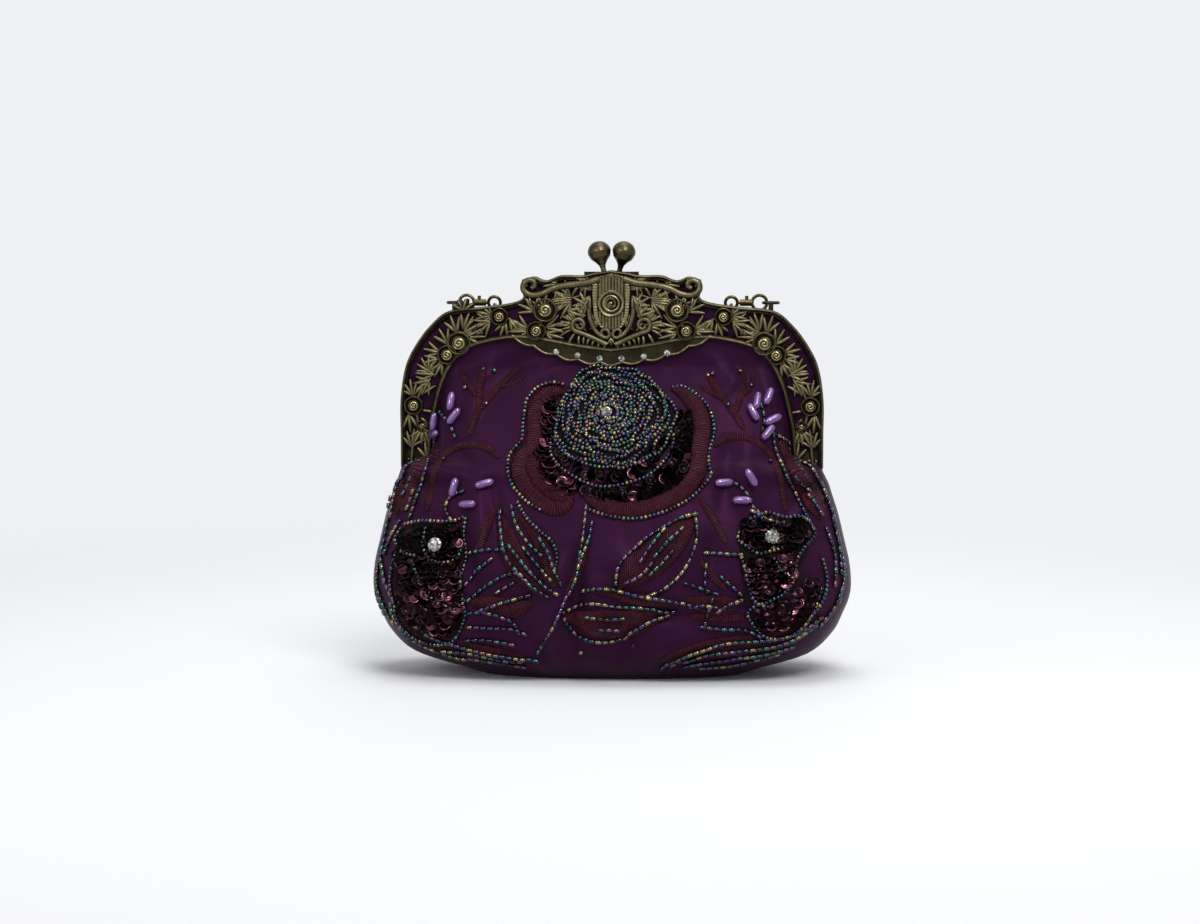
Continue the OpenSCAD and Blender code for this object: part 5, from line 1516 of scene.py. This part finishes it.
# Name, tone in the clouds, tone in the light, roughness, scale of the clouds and nodes
METALS = (
    # Antique brass plating, tumbled: satin gloss with dark clouds
    ("tumbled_antique_brass", "#1a170e", "#403a28", .42, 160.0,
     ("front_frame_channel", "back_frame_channel", "hinge_rivets", "shoulder_eyes")),
    # Knobs are polished by use, so they are lighter than the frame
    ("rubbed_antique_brass", "#231e13", "#544b34", .32, 90.0, ("front_knob", "back_knob")),
    # Aprons lie under the rail: dark oxide, and painted shade of the rail, in their colour
    ("blackened_antique_brass", "#14110a", "#342d1c", .45, 160.0, ("front_apron", "back_apron")),
    # Steel lock parts under a dark oxide
    ("oxidised_steel", "#15130f", "#332e24", .45, 220.0,
     ("front_lock_plate", "back_lock_plate", "front_lock_rivets", "back_lock_rivets")),
    # Chain wire with a coppery bronze plating
    ("bronze_plated_wire", "#2c2418", "#62563a", .32, 400.0,
     ("swivel_hooks", "hook_gates", "swivel_rings", "chain_links")))


class CLUTCH_OT_metalwork(bpy.types.Operator):
    """Plates the channel, aprons, lock, hinges, hooks and chain"""
    bl_idname = "clutch.metalwork"
    bl_label = "Metalwork"

    def execute(self, context):
        for *finish, names in METALS:
            metal = plain_metal_material(*finish)
            for name in names:
                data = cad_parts[name].data
                data.materials.clear()
                data.materials.append(metal)
        self.apron_rim()
        return {"FINISHED"}

    def apron_rim(self):
        """Raised wire along the scallops of both aprons."""
        half = FRAME_HALF_W * APRON_HALF_W
        x = np.linspace(-half, half, 271)
        edge = HINGE_Z + APRON_FOOT * FRAME_H
        end = np.interp(half, INNER_HALF[:, 0], INNER_HALF[:, 1])
        wave = np.abs(np.sin(np.pi * (x / half + 1) * (SCALLOPS / 2)))
        z = edge + (end - edge) * (x / half) ** 2 + SCALLOP_RISE * (1 - wave)
        step = unit(np.gradient(np.stack([x, z], 1), axis=0))
        turn = np.linspace(0, 2 * math.pi, 8, endpoint=False)
        brass = bpy.data.materials["antique_brass_casting"]
        r = .55
        for side, sign in (("front", -1), ("back", 1)):
            rows = np.stack([
                x[:, None] - step[:, 1:] * r * np.cos(turn),
                sign * (4.35 + r * np.sin(turn)) + 0 * x[:, None],
                z[:, None] + .35 + step[:, :1] * r * np.cos(turn)], -1)
            shape = Shape()
            shape.loft(rows, (.32 + .3 * np.sin(turn))[None, :])
            piece = make_piece(f"apron_rim_{side}", shape, brass)
            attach(piece, f"{side}_frame")


# ---- Stage ----

# Area lamps: name, place and size in metres, and power in watts
LAMPS = (
    ("key", (.35, -.7, 1.1), .6, 7.4), ("fill", (-.85, -.7, .55), .8, 2.0),
    ("top", (.05, .1, 1.15), .6, 5.2), ("rear", (.1, 1.0, .6), .9, 2.4),
    ("spark_right", (.3, -.85, .85), .1, 7), ("spark_left", (-.45, -.8, .6), .1, 3))
LAMP_TARGET = Vector((0, 0, .09))
# What lights the object from all round, against what the view and its reflections see
ROOM_LIGHT, WALL_LIGHT = .34, 1.0
FLOOR_HALF = 6.0
# Distances from the middle over which the paper fades into the backdrop
FADE_START, FADE_END = .22, .75


class CLUTCH_OT_stage(bpy.types.Operator):
    """Sets the camera, the pale floor and the soft studio light"""
    bl_idname = "clutch.stage"
    bl_label = "Stage"

    def execute(self, context):
        scene = context.scene
        scene.view_settings.view_transform = "Standard"
        camera = linked("camera", bpy.data.cameras.new("camera"))
        camera.data.lens, camera.data.sensor_width = CAMERA_LENS, SENSOR_WIDTH
        camera.data.clip_end = 30
        camera.location = Vector(CAMERA_PLACE * MM)
        camera.rotation_mode = "QUATERNION"
        camera.rotation_quaternion = Vector(-CAMERA_BACK).to_track_quat("-Z", "Y")
        scene.camera = camera
        for name, place, size, power in LAMPS:
            light = bpy.data.lights.new(name, "AREA")
            light.size, light.energy = size, power
            lamp = linked(name, light)
            lamp.location = place
            # The sparks only give small hard highlights on glass, pearl and metal
            lamp.visible_diffuse = not name.startswith("spark")
            lamp.rotation_mode = "QUATERNION"
            lamp.rotation_quaternion = (LAMP_TARGET - Vector(place)).to_track_quat("-Z", "Y")
        self.room(scene)
        return {"FINISHED"}

    def room(self, scene):
        """Floor and sky: the view sees a pale wall, the object a softer grey one."""
        mesh = bpy.data.meshes.new("floor")
        corners = [(x * FLOOR_HALF, y * FLOOR_HALF, 0)
                   for x, y in ((-1, -1), (1, -1), (1, 1), (-1, 1))]
        mesh.from_pydata(corners, [], [(0, 1, 2, 3)])
        floor = linked("floor", mesh)
        made, tree, shader = surface("matt_white_paper", Roughness=.9)
        place = node(tree, "ShaderNodeTexCoord").outputs["Object"]
        ramp_colours(tree, shader, noise(tree, place, 4.0), [(.3, "#f3f4f6"), (.7, "#f5f6f8")])
        # The paper fades into the backdrop: beyond the object its edge can't be seen
        run = node(tree, "ShaderNodeVectorMath", {0: place}, operation="LENGTH")
        fade = node(tree, "ShaderNodeMapRange", {
            "Value": run.outputs["Value"], 1: FADE_START, 2: FADE_END},
            interpolation_type="SMOOTHSTEP")
        away = node(tree, "ShaderNodeBsdfTransparent")
        both = node(tree, "ShaderNodeMixShader", {
            0: fade.outputs[0], 1: shader.outputs[0], 2: away.outputs[0]})
        sheet_out = next(n for n in tree.nodes if n.type == "OUTPUT_MATERIAL")
        tree.links.new(both.outputs[0], sheet_out.inputs["Surface"])
        mesh.materials.append(made)
        world = bpy.data.worlds.new("studio")
        scene.world = world
        world.use_nodes = True
        tree = world.node_tree
        tree.nodes.clear()
        path = node(tree, "ShaderNodeLightPath")
        seen = node(tree, "ShaderNodeMath", {
            0: path.outputs["Is Camera Ray"], 1: path.outputs["Is Glossy Ray"]},
            operation="MAXIMUM")
        seen = node(tree, "ShaderNodeMath", {
            0: seen.outputs[0], 1: path.outputs["Is Transmission Ray"]}, operation="MAXIMUM")
        dim, pale = (
            node(tree, "ShaderNodeBackground", {"Color": rgba(colour), "Strength": strength})
            for colour, strength in (("#e8eaf0", ROOM_LIGHT), ("#eff0f3", WALL_LIGHT)))
        both = node(tree, "ShaderNodeMixShader", {
            0: seen.outputs[0], 1: dim.outputs[0], 2: pale.outputs[0]})
        node(tree, "ShaderNodeOutputWorld", {"Surface": both.outputs[0]})


# ---- Properties, panel and run ----

def size_property(name, description, default):
    """A length in metres that a user can change."""
    return bpy.props.FloatProperty(
        name=name, description=description, default=default, unit="LENGTH", precision=5)


def colour_property(name, description, code):
    """A colour that a user can change, given by its hex value."""
    return bpy.props.FloatVectorProperty(
        name=name, description=description, default=linear(code), subtype="COLOR", size=3,
        min=0, max=1)


class ClutchSizes(bpy.types.PropertyGroup):
    """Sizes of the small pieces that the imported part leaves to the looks"""
    seed_bead: size_property("Seed bead", "Diameter of a round seed bead", .0018)
    cut_bead_length: size_property("Cut bead length", "Length of a square-cut bead", .0026)
    cut_bead_width: size_property("Cut bead width", "Width of a square-cut bead", .0017)
    sequin: size_property("Sequin", "Diameter of a sequin", .005)
    pearl_length: size_property("Pearl length", "Length of an oval pearl", .0084)
    pearl_width: size_property("Pearl width", "Width of an oval pearl", .0034)


class ClutchColours(bpy.types.PropertyGroup):
    """Colours of the cloth, thread and pearls"""
    satin: colour_property("Satin", "Satin in the light", "#381835")
    satin_dark: colour_property("Satin in shade", "Satin in its darker clouds", "#230d21")
    thread: colour_property("Thread", "Embroidery floss in the light", "#64303f")
    # Painted shade: the floss's tone between its ridges
    thread_painted_shade: colour_property(
        "Thread in shade", "Embroidery floss between its ridges", "#1c0911")
    lining: colour_property("Lining", "Taffeta lining", "#3a1c3e")
    pearl: colour_property("Pearl", "Body colour of the pearls", "#5c3b74")


class CLUTCH_PT_panel(bpy.types.Panel):
    """Lists the steps that build the clutch's looks"""
    bl_label = "Evening clutch"
    bl_idname = "CLUTCH_PT_panel"
    bl_space_type = "VIEW_3D"
    bl_region_type = "UI"
    bl_category = "Clutch"

    def draw(self, context):
        """The sizes, the colours and a button for each step."""
        for group in (context.scene.clutch_sizes, context.scene.clutch_colours):
            for key in group.__annotations__:
                self.layout.prop(group, key)
        for step in STEPS:
            self.layout.operator(step.bl_idname)


STEPS = (CLUTCH_OT_stage, CLUTCH_OT_cloth, CLUTCH_OT_strips, CLUTCH_OT_casting,
         CLUTCH_OT_metalwork, CLUTCH_OT_embroidery, CLUTCH_OT_beads, CLUTCH_OT_sequins,
         CLUTCH_OT_pearls, CLUTCH_OT_crystals)
CLASSES = (ClutchSizes, ClutchColours, *STEPS, CLUTCH_PT_panel)


def register():
    """Registers the classes and hangs the sizes and colours on the scene."""
    for kind in CLASSES:
        bpy.utils.register_class(kind)
    bpy.types.Scene.clutch_sizes = bpy.props.PointerProperty(type=ClutchSizes)
    bpy.types.Scene.clutch_colours = bpy.props.PointerProperty(type=ClutchColours)


def unregister():
    """Takes back what register did."""
    del bpy.types.Scene.clutch_sizes
    del bpy.types.Scene.clutch_colours
    for kind in reversed(CLASSES):
        bpy.utils.unregister_class(kind)


def main():
    """Builds the looks step by step."""
    register()
    for step in STEPS:
        group, name = step.bl_idname.split(".")
        getattr(getattr(bpy.ops, group), name)()


if __name__ == "__main__":
    main()
